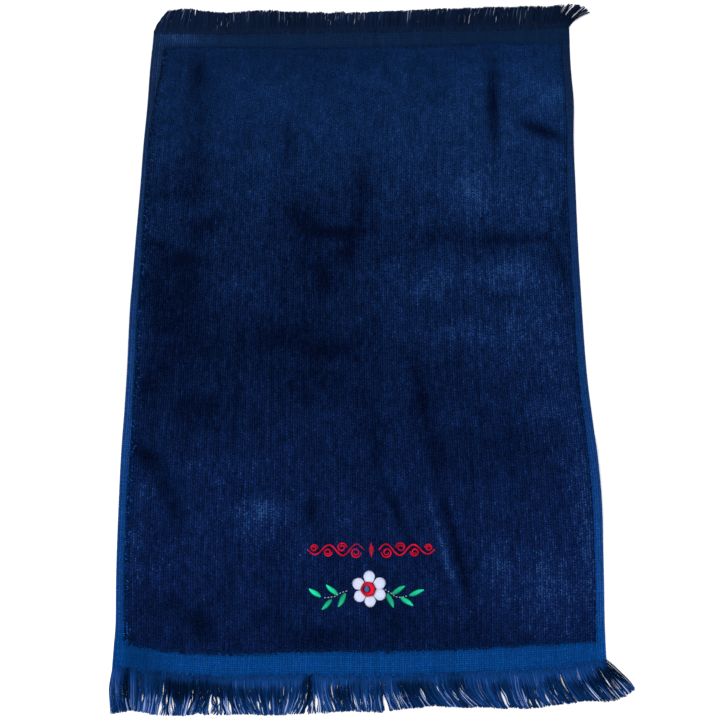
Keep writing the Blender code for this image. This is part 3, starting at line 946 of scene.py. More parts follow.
def tubes(paths, radii):
    """Four-sided threads along paths: their points and faces. Each has its ends closed."""
    count, steps = paths.shape[:2]
    ahead = np.gradient(paths, axis=1)
    ahead /= np.linalg.norm(ahead, axis=2, keepdims=True) + 1e-9
    aside = np.cross(ahead, (0.0, 0.0, 1.0))
    aside /= np.linalg.norm(aside, axis=2, keepdims=True) + 1e-9
    above = np.cross(aside, ahead)
    rims = [
        paths + (aside * math.cos(turn) + above * math.sin(turn)) * radii[:, :, None]
        for turn in (0.0, math.pi / 2, math.pi, math.pi * 3 / 2)
    ]
    points = np.stack(rims, 2).reshape(-1, 3)
    first = (np.arange(count)[:, None] * steps + np.arange(steps - 1)) * 4
    quads = [
        np.stack([first + a, first + b, first + b + 4, first + a + 4], -1)
        for a, b in ((0, 1), (1, 2), (2, 3), (3, 0))
    ]
    start = np.arange(count)[:, None] * steps * 4
    close = np.concatenate([start + (3, 2, 1, 0), start + (steps - 1) * 4 + (0, 1, 2, 3)])
    return points, [np.concatenate([quad.reshape(-1, 4) for quad in quads]), close]


def shaded(colour, factor):
    """A colour made lighter or darker, kept at or under white."""
    return tuple(min(channel * factor, 1.0) for channel in colour)


class Finish:
    """A cloth material: Principled BSDF, coloured by the piece's tone and fine fibre noise."""

    def __init__(self, name, roughness, sheen, sheen_tint, specular):
        self.material = bpy.data.materials.new(name)
        self.material.use_nodes = True
        self.tree = self.material.node_tree
        self.nodes = self.tree.nodes
        self.shader = self.nodes["Principled BSDF"]
        self.shader.inputs["Roughness"].default_value = roughness
        self.shader.inputs["Sheen Weight"].default_value = sheen
        self.shader.inputs["Sheen Roughness"].default_value = SHEEN_ROUGHNESS
        self.shader.inputs["Sheen Tint"].default_value = (*sheen_tint, 1.0)
        self.shader.inputs["Specular IOR Level"].default_value = specular
        self.place = self.nodes.new("ShaderNodeTexCoord").outputs["Object"]

    def link(self, start, end):
        """Join one socket to another."""
        self.tree.links.new(start, end)

    def tone(self):
        """The piece's own lightness at each point."""
        node = self.nodes.new("ShaderNodeAttribute")
        node.attribute_name = "tone"
        return node.outputs["Fac"]

    def math(self, kind, *values):
        """A math node on sockets and numbers."""
        node = self.nodes.new("ShaderNodeMath")
        node.operation = kind
        for socket, value in zip(node.inputs, values):
            if isinstance(value, float):
                socket.default_value = value
            else:
                self.link(value, socket)
        return node.outputs[0]

    def noise(self, scale, detail=2.0):
        """Fine noise over the towel."""
        node = self.nodes.new("ShaderNodeTexNoise")
        node.inputs["Scale"].default_value = scale
        node.inputs["Detail"].default_value = detail
        self.link(self.place, node.inputs["Vector"])
        return node.outputs["Fac"]

    def varied_tone(self, scale, depth):
        """The tone with fibre noise over it, as a share of the ramp's top tone."""
        spread = self.math("MULTIPLY_ADD", self.noise(scale), depth, 1.0 - depth / 2)
        return self.math("MULTIPLY", self.math("MULTIPLY", self.tone(), spread), 1.0 / TOP_TONE)

    def colour(self, value, stops):
        """A colour ramp from a few (position, colour) stops."""
        node = self.nodes.new("ShaderNodeValToRGB")
        elements = node.color_ramp.elements
        while len(elements) < len(stops):
            elements.new(0.5)
        for element, (position, colour) in zip(elements, stops):
            element.position = position
            element.color = (*colour, 1.0)
        self.link(value, node.inputs["Fac"])
        return node.outputs["Color"]

    def mixed(self, factor, first, second):
        """One colour that turns into another."""
        node = self.nodes.new("ShaderNodeMix")
        node.data_type = "RGBA"
        self.link(factor, node.inputs[MIX_FACTOR])
        self.link(first, node.inputs[MIX_FIRST])
        self.link(second, node.inputs[MIX_SECOND])
        return node.outputs[MIX_RESULT]

    def along(self, low, high):
        """From 0 at one place along the towel to 1 at another, both in metres."""
        split = self.nodes.new("ShaderNodeSeparateXYZ")
        self.link(self.place, split.inputs[0])
        node = self.nodes.new("ShaderNodeMapRange")
        node.inputs["From Min"].default_value = low
        node.inputs["From Max"].default_value = high
        self.link(split.outputs["Y"], node.inputs["Value"])
        return node.outputs["Result"]

    def bump(self, height, strength, distance):
        """Fine relief on the shader's normal."""
        node = self.nodes.new("ShaderNodeBump")
        node.inputs["Strength"].default_value = strength
        node.inputs["Distance"].default_value = distance
        self.link(height, node.inputs["Height"])
        self.link(node.outputs["Normal"], self.shader.inputs["Normal"])

    def base(self, colour):
        """The shader's own colour."""
        self.link(colour, self.shader.inputs["Base Color"])


def tone_stops(colour, lightest, deep=None, paling=0.0):
    """Ramp stops that scale a colour by its tone, and run to its lightest fibres at the top."""
    bright = shaded(colour, BRIGHT_TONE)
    bright = tuple(a + paling * (b - a) for a, b in zip(bright, lightest))
    return (
        (0.0, shaded(deep or colour, 0.03)),
        (DEEP_TONE / TOP_TONE, deep or shaded(colour, DEEP_TONE)),
        (1.0 / TOP_TONE, tuple(colour)),
        (BRIGHT_TONE / TOP_TONE, bright),
        (LIGHTEST_TONE / TOP_TONE, tuple(lightest)),
    )


def pile_material():
    """Velour: very dark dyed cotton, lit at a grazing angle by its cut fibre ends."""
    cloth = settings().cloth
    finish = Finish(
        "velour_pile", roughness=0.95, sheen=0.03, sheen_tint=(0.05, 0.25, 1.0), specular=0.0
    )
    tone = finish.varied_tone(scale=1500.0, depth=0.5)
    light, deep = cloth.pile_light, tuple(cloth.pile_deep)
    near = finish.colour(tone, tone_stops(cloth.pile_near, light, deep))
    far = finish.colour(tone, tone_stops(cloth.pile_far_sheen, light, deep))
    # The far colour, lighter and greener, is painted sheen and haze where the pile is seen at a
    # grazing angle.
    finish.base(finish.mixed(finish.along(-0.16, 0.17), near, far))
    finish.bump(finish.noise(2600.0, detail=3.0), strength=0.5, distance=0.0003)
    return finish.material


def yarn_material(name, fuzz_and_sheen=0.0, lint=None, paling=0.0):
    """Woven or loose cotton yarn, bright blue at the near end and darker at the far one: painted
    light that falls off from the near end towards the far one.
    """
    cloth = settings().cloth
    lint = lint or cloth.lint
    # Pale fuzz on loose threads, and painted sheen on the selvedges, lift the yarn's colours.
    with_fuzz_and_sheen = [
        [channel + fuzz_and_sheen * share for channel, share in zip(yarn, FUZZ_AND_SHEEN_SHARES)]
        for yarn in (cloth.yarn_near_lit, cloth.yarn_far_shaded)
    ]
    finish = Finish(
        name, roughness=0.85, sheen=0.03, sheen_tint=(0.1, 0.35, 1.0), specular=0.0
    )
    tone = finish.varied_tone(scale=1900.0, depth=0.5)
    near, far = (finish.colour(tone, tone_stops(yarn, lint, paling=paling)) for yarn in with_fuzz_and_sheen)
    # Painted light: brighter at the near end, falling off towards the far one.
    finish.base(finish.mixed(finish.along(-0.2, 0.19), near, far))
    finish.bump(finish.noise(3200.0, detail=3.0), strength=0.35, distance=0.0002)
    return finish.material


def thread_material(name, colour, lightest):
    """Glossy embroidery thread: fine lustrous fibres, with painted shade where stitches sink."""
    finish = Finish(name, roughness=0.5, sheen=0.0, sheen_tint=(1.0, 1.0, 1.0), specular=0.1)
    tone = finish.varied_tone(scale=2200.0, depth=0.25)
    finish.base(finish.colour(tone, tone_stops(colour, lightest)))
    finish.bump(finish.noise(4200.0), strength=0.3, distance=0.0002)
    return finish.material


def lines(start, foot_low, foot_high, end, inner, outer):
    """Grid lines across the cloth: its edge, a band, the pile's foot, the pile, and so on."""
    low = np.linspace(start, foot_low, outer, endpoint=False, axis=-1)
    pile = np.linspace(foot_low + PILE_SLOPE, foot_high - PILE_SLOPE, inner, axis=-1)
    high = np.linspace(end, foot_high, outer, endpoint=False, axis=-1)[..., ::-1]
    feet = np.stack([foot_low], -1), np.stack([foot_high], -1)
    return np.concatenate([low, feet[0], pile, feet[1], high], -1)


class TOWEL_OT_ground(bpy.types.Operator):
    """Weave the ground cloth, thin in its bands and full where the pile stands on it"""

    bl_idname = "towel.ground"
    bl_label = "Ground Cloth"

    def execute(self, context):
        across, along = PILE_COLUMNS + 4, PILE_ROWS + 2 * BAND_ROWS + 2
        bpy.ops.object.select_all(action="DESELECT")
        bpy.ops.mesh.primitive_grid_add(
            x_subdivisions=across - 1, y_subdivisions=along - 1, size=1.0
        )
        sheet = context.active_object
        sheet.name = "ground_cloth"
        bpy.ops.object.mode_set(mode="EDIT")
        bpy.ops.mesh.select_all(action="SELECT")
        bpy.ops.mesh.extrude_region_move(TRANSFORM_OT_translate={"value": (0.0, 0.0, 1.0)})
        bpy.ops.mesh.select_all(action="SELECT")
        bpy.ops.mesh.normals_make_consistent(inside=False)
        bpy.ops.object.mode_set(mode="OBJECT")
        mesh = sheet.data
        flat = np.empty(len(mesh.vertices) * 3, np.float32)
        mesh.vertices.foreach_get("co", flat)
        flat = flat.reshape(-1, 3)
        column = np.rint((flat[:, 0] + 0.5) * (across - 1)).astype(int)
        row = np.rint((flat[:, 1] + 0.5) * (along - 1)).astype(int)
        level = (row / (along - 1) - 0.5) * CLOTH_LONG
        pile_left, pile_right = pile_sides(level)
        columns = lines(
            left_edge(level), pile_left, pile_right, right_edge(level), PILE_COLUMNS, 1
        )
        x = columns[np.arange(len(row)), column]
        pile_near, pile_far_sheen = pile_ends(x)
        rows = lines(near_hem(x), pile_near, pile_far_sheen, far_hem(x), PILE_ROWS, BAND_ROWS)
        y = rows[np.arange(len(row)), row]
        full = (column > 1) & (column < across - 2)
        full &= (row > BAND_ROWS) & (row < along - 1 - BAND_ROWS)
        lift, dent = lift_and_dent(x, y)
        thick = np.where(full, PILE_BODY - PRESSED_BODY * dent, BAND_THICK)
        points = np.stack([x, y, lift + thick * flat[:, 2]], 1) + (*CLOTH_MIDDLE, 0.0)
        mesh.vertices.foreach_set("co", (points * MM).astype(np.float32).ravel())
        mesh.update()
        bpy.ops.object.shade_smooth_by_angle(angle=math.radians(40))
        # Painted shade: the ground is darker under the pile and between the band's yarns.
        add_tone(mesh, np.where(full, GROUND_UNDER_PILE_SHADE, GROUND_BAND_SHADE))
        finish_piece(sheet, yarn_material("ground_weave"), ("towel_cloth",))
        return {"FINISHED"}


class TOWEL_OT_weave(bpy.types.Operator):
    """Lay the paired warp threads and the weft of the plain end bands and selvedges"""

    bl_idname = "towel.weave"
    bl_label = "Woven Bands"

    def execute(self, context):
        cloth = settings().cloth
        groups = self.yarns(cloth.rib_pitch / MM, cloth.pick_pitch / MM)
        # The selvedges get painted sheen: a pale lift, mostly in red.
        for part, chosen, fuzz_and_sheen in (
            ("weave_near_band", lambda y: y < -BAND_SPLIT, 0.0),
            ("weave_far_band", lambda y: y > BAND_SPLIT, 0.0),
            ("weave_selvedges", lambda y: np.abs(y) <= BAND_SPLIT, cloth.selvedge_sheen),
        ):
            points, faces, shades, first = [], [], [], 0
            for shape, places, sizes, shade in groups:
                own = chosen(places[:, 1])
                count = own.sum()
                own_points, own_faces = copies(
                    shape, places[own], sizes[own], np.zeros(count), np.zeros((count, 2))
                )
                points.append(own_points)
                faces.append(own_faces + first)
                shades.append(np.repeat(shade[own], len(shape.points)))
                first += len(own_points)
            piece = new_piece(part, np.concatenate(points), faces, np.concatenate(shades))
            finish_piece(piece, yarn_material(part + "_yarn", fuzz_and_sheen))
        return {"FINISHED"}

    def yarns(self, dent_pitch, pick_pitch):
        """For each kind of yarn its shape, and the places, sizes and tones where it shows."""
        dents, picks = round(CLOTH_WIDE / dent_pitch), round(CLOTH_LONG / pick_pitch)
        draw = np.random.default_rng(WEAVE_SEED)
        dent_tone = draw.normal(1, DENT_SPREAD, dents)
        pick_tone = draw.normal(1, PICK_SPREAD, picks)
        i, j = np.meshgrid(np.arange(dents), np.arange(picks), indexing="ij")
        i, j = i.ravel(), j.ravel()
        count = len(i)
        groups = []
        for yarn in WEAVE_YARNS:
            weft = yarn.sides == WEFT_SIDES
            over = 1.0 if weft else np.where(j % 2 == 0, WARP_OVER, WARP_UNDER)
            along = (j + (1.0 if weft else 0.5)) / picks
            x, y = cloth_point((i + 0.5 + yarn.offset) / dents, along)
            left, right = pile_sides(y)
            near, far = pile_ends(x)
            bare = (x < left + UNDER_PILE_SIDE) | (x > right - UNDER_PILE_SIDE)
            bare |= (y < near + UNDER_PILE_END) | (y > far - UNDER_PILE_END)
            bare &= (y > near_hem(x)) & (y < far_hem(x))
            # Painted shade on the yarns that lie lower: the weft, and the warps where they dip
            # under.
            shade = yarn.tone * over * dent_tone[i] * pick_tone[j]
            # Random spread, with the bands' painted light and shade.
            spread_and_shade = draw.normal(0, YARN_SPREAD, count) + brushed_and_shaded(BAND_LIGHT_AND_SHADE_MARKS, x, y)
            shade *= WEAVE_TONE * np.exp(spread_and_shade)
            shade *= np.exp(mottle(x, y, *WEAVE_MOTTLE))
            # Painted shade in the furrow along the pile's left side.
            sunk_shade = (np.abs(x - left + 0.1) < FURROW_SHADE_HALF_WIDE) & (y > near) & (y < far)
            shade *= np.where(sunk_shade, FURROW_SHADE_TONE, 1.0)
            sizes = np.stack(
                [
                    np.full(count, yarn.half_wide * dent_pitch),
                    np.full(count, yarn.half_long * pick_pitch),
                    yarn.rise * over * draw.uniform(0.92, 1.08, count),
                ],
                1,
            )
            lift, _ = lift_and_dent(x, y)
            places = np.stack([x, y, lift + BAND_THICK - YARN_SINK], 1)
            groups.append((open_cone(yarn.sides), places[bare], sizes[bare], shade[bare]))
        return groups


class TOWEL_OT_pile(bpy.types.Operator):
    """Stand the velour's cut tufts on the ground cloth, in ribs along the towel"""

    bl_idname = "towel.pile"
    bl_label = "Velour Pile"

    def execute(self, context):
        cloth = settings().cloth
        rib, pitch = cloth.rib_pitch / MM, cloth.tuft_pitch / MM
        ribs, rows = round(PILE_WIDE / rib), round(PILE_LONG / pitch)
        draw = np.random.default_rng(PILE_SEED)
        i, j = np.meshgrid(np.arange(2 * ribs), np.arange(rows), indexing="ij")
        i, j = i.ravel(), j.ravel()
        count = len(i)
        side = np.where(i % 2 == 0, -1, 1)
        jitter = draw.uniform(-TUFT_ALONG_JITTER, TUFT_ALONG_JITTER, count)
        t = (j + 0.5 * (i % 2) + jitter) / rows
        aside = TUFT_ASIDE * side + draw.normal(0, TUFT_ASIDE_JITTER, count)
        s = (i // 2 + 0.5 + aside) / ribs
        x, y = pile_point(s, t)
        left, right = pile_sides(y)
        near, far = pile_ends(x)
        from_side = np.minimum(x - left, right - x)
        ragged = np.clip(
            1 - np.minimum(from_side, np.minimum(y - near, far - y)) / RAGGED_WIDE, 0, 1
        )
        lift, dent = lift_and_dent(x, y)
        # The marks paint the nap, and painted shade and light along the creases.
        brush_and_shade = brushed_and_shaded(NAP_AND_SHADE_MARKS, x, y) + mottle(x, y, *NAP_MOTTLE)
        # The level along the cloth is partly painted sheen, lighter towards the far end.
        tone = pile_level(y) * np.exp(brush_and_shade)
        y += ragged * np.where(y < 0, -1, 1) * draw.uniform(*RAGGED_REACH, count)
        top = PILE_TOP - dent * PRESSED_TOP + draw.normal(0, TUFT_TOP_SPREAD, count)
        top += mottle(x, y, PILE_SWELL) - RAGGED_DROP * ragged**1.5
        top = np.where(under_stitches(x, y), STITCH_FOOT - 0.1, top)
        foot = PILE_BODY - PRESSED_BODY * dent - TUFT_SUNK - RAGGED_SUNK * ragged
        wide = draw.uniform(*TUFT_HALF_WIDE, count) * rib
        long = draw.uniform(*TUFT_HALF_LONG, count) * pitch
        sizes = np.stack([wide, long, top - foot], 1)
        lean_x = draw.normal(0, TUFT_LEAN_SPREAD, count)
        lean_y = draw.normal(-TUFT_LEAN, TUFT_LEAN_SPREAD, count)
        lean_y += BRUSHED_LEAN * np.clip(brush_and_shade, -1, 1)
        lean_x += mottle(x, y, LEAN_DRIFT)
        from_end = np.minimum(y - near, far - y)
        outward = RAGGED_LEAN * ragged
        lean_x += outward * np.sign(x) * (from_side < RAGGED_LEAN_WIDE)
        lean_y += outward * np.sign(y) * (from_end < RAGGED_LEAN_WIDE)
        lean = np.stack([lean_x, lean_y], 1)
        places = np.stack([x, y, lift + foot], 1)
        grain = self.grain(draw, x, y, i // 2, side, ribs)
        shade = tone * np.exp(grain * np.interp(y, GRAIN_ALONG, GRAIN_DEPTH))
        shade *= np.where(from_side < SHADED_SIDE, SHADED_SIDE_TONE, 1.0)
        stray = draw.random(count) < STRAY_SHARE
        shade = np.where(stray, shade * draw.uniform(*STRAY_TONE, count), shade)
        shade *= np.where(y - near < SHADED_NEAR_END, SHADED_NEAR_TONE, 1.0)
        shade *= np.where(far - y < SHADED_FAR_END, SHADED_FAR_TONE, 1.0)
        tuft = open_cone(TUFT_SIDES)
        yaw = draw.uniform(0, 2 * math.pi, count)
        part_of = np.minimum((t * PILE_PARTS).astype(int), PILE_PARTS - 1)
        # Painted shade at each tuft's root and painted light at its tip.
        root_shade_tip_light = np.where(tuft.points[:, 2] > 0.5, TUFT_TIP_LIGHT, TUFT_ROOT_SHADE)
        material = pile_material()
        for part in range(PILE_PARTS):
            own = part_of == part
            points, faces = copies(tuft, places[own], sizes[own], yaw[own], lean[own])
            shades = (shade[own, None] * root_shade_tip_light).ravel()
            piece = new_piece(f"pile_{part + 1}", points, [faces], shades)
            finish_piece(piece, material)
        return {"FINISHED"}

    def grain(self, draw, x, y, rib, side, ribs):
        """How much lighter or darker each tuft is than the pile round it, with painted light on the
        left tuft of each rib and painted shade on the right one.
        """
        streak = value_noise(rib.astype(float), y / 5.0, 1.0, 52)
        grain = 0.30 * streak + 0.22 * value_noise(x, y / 1.6, 1.6, 51)
        grain += np.clip(draw.normal(0, GRAIN_SPREAD, len(x)), -0.6, 0.5) - RIB_SIDE_LIGHT * side
        grain += draw.normal(0, RIB_SPREAD, ribs)[rib]
        return grain


class TOWEL_OT_edge_threads(bpy.types.Operator):
    """Lay the raised thread right of the pile and the loose loops left of it"""

    bl_idname = "towel.edge_threads"
    bl_label = "Selvedge Threads"

    def execute(self, context):
        draw = np.random.default_rng(EDGE_SEED)
        self.raised_thread(draw)
        self.loose_loops(draw)
        return {"FINISHED"}

    def raised_thread(self, draw):
        """The thread that runs over and under the selvedge, right of the pile."""
        y = np.arange(*EDGE_REACH, EDGE_STEP)
        _, right = pile_sides(y)
        line = np.stack([right + RAISED_ASIDE + 0.12 * value_noise(y, y, 9.0, 62), y], 1)
        at = np.arange(0, len(line) - 20, round((RAISED_STITCH + RAISED_GAP) / EDGE_STEP))
        start, end = line[at], line[at + round(RAISED_STITCH / EDGE_STEP)]
        lift, _ = lift_and_dent(start[:, 0], start[:, 1])
        paths = self.loops(start, end, lift + BAND_THICK + RAISED_FOOT, RAISED_RISE)
        tone = np.exp(draw.normal(0, 0.2, len(start))) * RAISED_TONE
        self.lay("edge_thread_right", paths, tone)

    def loose_loops(self, draw):
        """Loops of every lightness along the pile's left side."""
        y = np.arange(*EDGE_REACH, LOOP_PITCH)
        count = len(y)
        y += draw.uniform(-0.5, 0.5, count)
        left, _ = pile_sides(y)
        x = left + LOOP_ASIDE + draw.normal(0, LOOP_SPREAD, count)
        turn = draw.normal(LOOP_TURN, LOOP_TURN_SPREAD, count)
        reach = draw.uniform(*LOOP_REACH, count)[:, None]
        step = np.stack([np.sin(turn), np.cos(turn)], 1) * reach
        middle = np.stack([x, y], 1)
        lift, _ = lift_and_dent(x, y)
        foot = lift + BAND_THICK + LOOP_FOOT
        paths = self.loops(middle - step, middle + step, foot, LOOP_RISE)
        pale = draw.random(count) < LOOP_PALE_SHARE
        pale_tone = draw.uniform(*LOOP_PALE_TONE, count)
        tone = np.where(pale, pale_tone, draw.uniform(*LOOP_TONE, count))
        self.lay("edge_loops_left", paths, tone)

    def loops(self, start, end, foot, rise):
        """Short arched threads from start to end points."""
        s = np.linspace(0, 1, LOOP_STEPS)
        flat = start[:, None] * (1 - s[None, :, None]) + end[:, None] * s[None, :, None]
        z = foot[:, None] + rise * np.sin(math.pi * s)[None]
        return np.concatenate([flat, z[:, :, None]], 2)

    def lay(self, name, paths, tone):
        """One piece of short threads, each of one tone."""
        points, faces = tubes(paths, np.full(paths.shape[:2], EDGE_RADIUS))
        piece = new_piece(name, points, faces, np.repeat(tone, LOOP_STEPS * TUBE_SIDES))
        finish_piece(piece, yarn_material(name + "_yarn"))


def frayed_slits(frayed, draw):
    """Small partings here and there between the ones that the tables name."""
    slits = []
    for stretch in frayed:
        tips = draw.uniform(stretch.left, stretch.right, stretch.slits)
        starts = draw.uniform(*SLIT_STARTS, stretch.slits)
        ends = starts + draw.uniform(*SLIT_LENGTHS, stretch.slits)
        widths = draw.uniform(*SLIT_WIDTHS, stretch.slits)
        slits += map(Parting, tips, starts, ends, widths)
    return slits


def part_strands(x, root, s, strands, partings):
    """Push threads apart on both sides of each parting, where along them it is open."""
    tips = np.array([strand.tip_x for strand in strands])
    roots = np.array([strand.root for strand in strands])
    for parting in partings:
        away = root - np.interp(parting.tip, tips, roots)
        near = np.clip(1 - np.abs(away) / PARTING_REACH, 0, 1)
        opened = np.clip((s - parting.start) / (parting.end - parting.start), 0, 1)
        x += (np.sign(away) * near * parting.width / 2)[:, None] * np.sin(math.pi * opened) ** 0.8
    return x


def fringe_threads(hem, end):
    """The loose threads of one end as paths, with their radii and tones."""
    fringe = settings().fringe
    draw = np.random.default_rng(end.seed)
    count = fringe.threads
    level = hem(0.0)
    left = left_edge(level) + THREAD_SIDE_INSET
    right = right_edge(level) - THREAD_SIDE_INSET
    lower = round(count * fringe.evenness)
    even = left + (np.arange(lower) + draw.uniform(0.1, 0.9, lower)) / lower * (right - left)
    root = np.sort(np.concatenate([even, draw.uniform(left, right, count - lower)]))
    widths = draw.uniform(*LOCK_WIDE, FRINGE_LOCKS)
    lock = np.searchsorted(left + np.cumsum(widths), root)
    centre = (left + np.cumsum(widths) - widths / 2)[lock]
    s = np.linspace(0, 1, THREAD_STEPS)
    tip_of = smooth_table(end.strands, "root", "tip_x")
    gather = draw.uniform(*LOCK_GATHER, FRINGE_LOCKS)[lock]
    own_tip = tip_of(root)
    tip = own_tip + (tip_of(centre) - own_tip) * gather
    tip += draw.normal(0, THREAD_TIP_SPREAD * end.unlike, count)
    tip += draw.normal(0, LOCK_TIP_SPREAD, FRINGE_LOCKS)[lock]
    middle = smooth_table(end.strands, "root", "middle")(root)
    middle = middle + draw.normal(0, THREAD_MIDDLE_SPREAD, count)
    start_y = hem(root) - end.outward * draw.uniform(*THREAD_INSET, count)
    end_y = smooth_table(end.strands, "root", "tip_y")(root)
    end_y = end_y - end.outward * np.abs(draw.normal(0, THREAD_SHORTER, count))
    end_y += end.outward * draw.uniform(*LOCK_REACH, FRINGE_LOCKS)[lock]
    a, b, c = (1 - s) * (1 - 2 * s), 4 * s * (1 - s), s * (2 * s - 1)
    x = root[:, None] * a + middle[:, None] * b + tip[:, None] * c
    slits = (*end.partings, *frayed_slits(end.frayed, draw))
    x = part_strands(x, root, s, end.strands, slits)
    y = start_y[:, None] * (1 - s) + end_y[:, None] * s
    phase = draw.uniform(0, 2 * math.pi, (count, 1))
    wave = 2 * math.pi * draw.uniform(*THREAD_WAVES, (count, 1)) * s + phase
    crimp = end.unlike * draw.uniform(*THREAD_CRIMP, (count, 1)) * np.minimum(3 * s, 1)
    x += crimp * np.sin(wave)
    layer = draw.uniform(*THREAD_LAYER, (count, 1))
    settle = np.clip(2.6 * s, 0, 1) ** 0.8
    z = (BAND_THICK + ROOT_RISE) * (1 - settle) + layer * settle + 0.3 * crimp * np.cos(wave)
    radius = fringe.thread_radius / MM
    radii = radius * (1 - THREAD_TAPER * s**2) * draw.uniform(*THREAD_SIZES, (count, 1))
    z = np.maximum(z, radii + THREAD_OFF_FLOOR)
    tone = fringe_tones(end, draw, x[:, THREAD_STEPS // 2][:, None], s, lock, layer)
    return np.stack([x, y, z], 2), radii, tone


def fringe_tones(end, draw, centre, s, lock, layer):
    """How light each thread is along its length: in shadow near the hem, lighter at its tip."""
    start, middle, tip = (
        smooth_table(end.shades, "across", column)(centre) for column in ("start", "middle", "tip")
    )
    start = start + draw.normal(0, SHADOW_SPREAD, (len(lock), 1)) - SHADOW_EARLIER
    sunk_shade = np.clip((s - start) / SHADOW_SOFT, 0, 1)
    body = ROOT_TONE + sunk_shade * (middle - ROOT_TONE)
    body = body + np.clip((s - TIP_FROM) / TIP_SOFT, 0, 1) * (tip - body)
    own = draw.uniform(*LOCK_TONES, FRINGE_LOCKS)[lock]
    own = own * np.exp(draw.normal(0, end.unlike, len(lock)))
    tone = body * (1 + (own[:, None] - 1) * np.minimum(OWN_TONE_SOONER * s, 1))
    # Painted shade on the threads that lie under the others.
    tone = tone * (LOW_LAYER_SHADE + (1 - LOW_LAYER_SHADE) * layer)
    pale = draw.random((len(lock), 1)) < PALE_SHARE * end.unlike**2
    paler = draw.uniform(*PALE_TONE, (len(lock), 1)) * end.unlike
    return np.where(pale, tone + paler * np.clip((s - PALE_FROM) / PALE_SOFT, 0, 1), tone)


class TOWEL_OT_fringe(bpy.types.Operator):
    """Fray the warp threads of both ends into strands that rest on the floor"""

    bl_idname = "towel.fringe"
    bl_label = "Fringes"

    def execute(self, context):
        fringe = settings().fringe
        for name, hem, end in (("near", near_hem, NEAR_FRINGE), ("far", far_hem, FAR_FRINGE)):
            paths, radii, tone = fringe_threads(hem, end)
            points, faces = tubes(paths, radii)
            tones = np.repeat(tone.ravel(), TUBE_SIDES)
            piece = new_piece(f"{name}_fringe_threads", points, faces, tones)
            material = yarn_material(
                f"{name}_fringe_yarn", fringe.fuzz_and_sheen, fringe.lint, FRINGE_PALING
            )
            finish_piece(piece, material, (f"fringe_{name}",))
        return {"FINISHED"}


def stitched(name, paths, tone, colours, replaces=()):
    """A piece of embroidery: one thread for each path, in one thread colour."""
    radius = settings().sprig.thread_radius / MM
    steps = paths.shape[1]
    taper = 1 - 0.35 * np.abs(np.linspace(-1, 1, steps)) ** 4
    radii = np.repeat(radius * taper[None], len(paths), 0)
    points, faces = tubes(paths, radii)
    piece = new_piece(name, points, faces, np.repeat(tone.ravel(), TUBE_SIDES))
    finish_piece(piece, thread_material(name + "_thread", *colours), replaces)


def arched(start, end, control, crown, steps=STITCH_STEPS):
    """Stitches from start to end points past a control point, sunk at their ends."""
    s = np.linspace(0, 1, steps)[None, :, None]
    flat = start[:, None] * (1 - s) ** 2 + control[:, None] * 2 * s * (1 - s) + end[:, None] * s**2
    rise = np.sin(math.pi * np.linspace(0, 1, steps)) ** 0.45
    z = STITCH_FOOT + (crown[:, None] - STITCH_FOOT) * rise[None]
    return np.concatenate([flat, z[:, :, None]], 2)


def straight(start, end, crown, steps=STITCH_STEPS):
    """Stitches that run straight from start to end points, all of one height."""
    return arched(start, end, (start + end) / 2, np.full(len(start), crown), steps)


def stitch_tone(draw, count, steps=STITCH_STEPS, sunk_shade=STITCH_SUNK_SHADE):
    """Each stitch a little unlike the next, with painted shade where it sinks into the pile."""
    ends = sunk_shade + (1 - sunk_shade) * np.sin(math.pi * np.linspace(0, 1, steps)) ** 0.5
    return draw.uniform(0.9, 1.1, (count, 1)) * ends[None]


def petal_stitches(petal):
    """One petal's radial stitches, fanned from the ring to its round end."""
    a = np.linspace(-1, 1, PETAL_STITCHES)
    half = petal.wide / 2 - PETAL_INSET
    end_at = petal.reach - half
    start = np.stack([np.full(len(a), PETAL_START), a * half * PETAL_START_SPREAD], 1)
    round_end = end_at + half * np.sqrt(1 - 0.97 * a**2)
    end = np.stack([round_end, a * half * PETAL_END_SPREAD], 1)
    control = np.stack([np.full(len(a), PETAL_BEND), a * half * PETAL_BEND_SPREAD], 1)
    crown = PETAL_EDGE_CROWN + (STITCH_CROWN - PETAL_EDGE_CROWN) * np.sqrt(1 - 0.9 * a**2)
    turn = math.radians(petal.turn)
    ahead = np.array([math.cos(turn), math.sin(turn)])
    aside = np.array([-math.sin(turn), math.cos(turn)])
    placed = [FLOWER + p[:, :1] * ahead + p[:, 1:] * aside for p in (start, end, control)]
    return arched(*placed, crown)


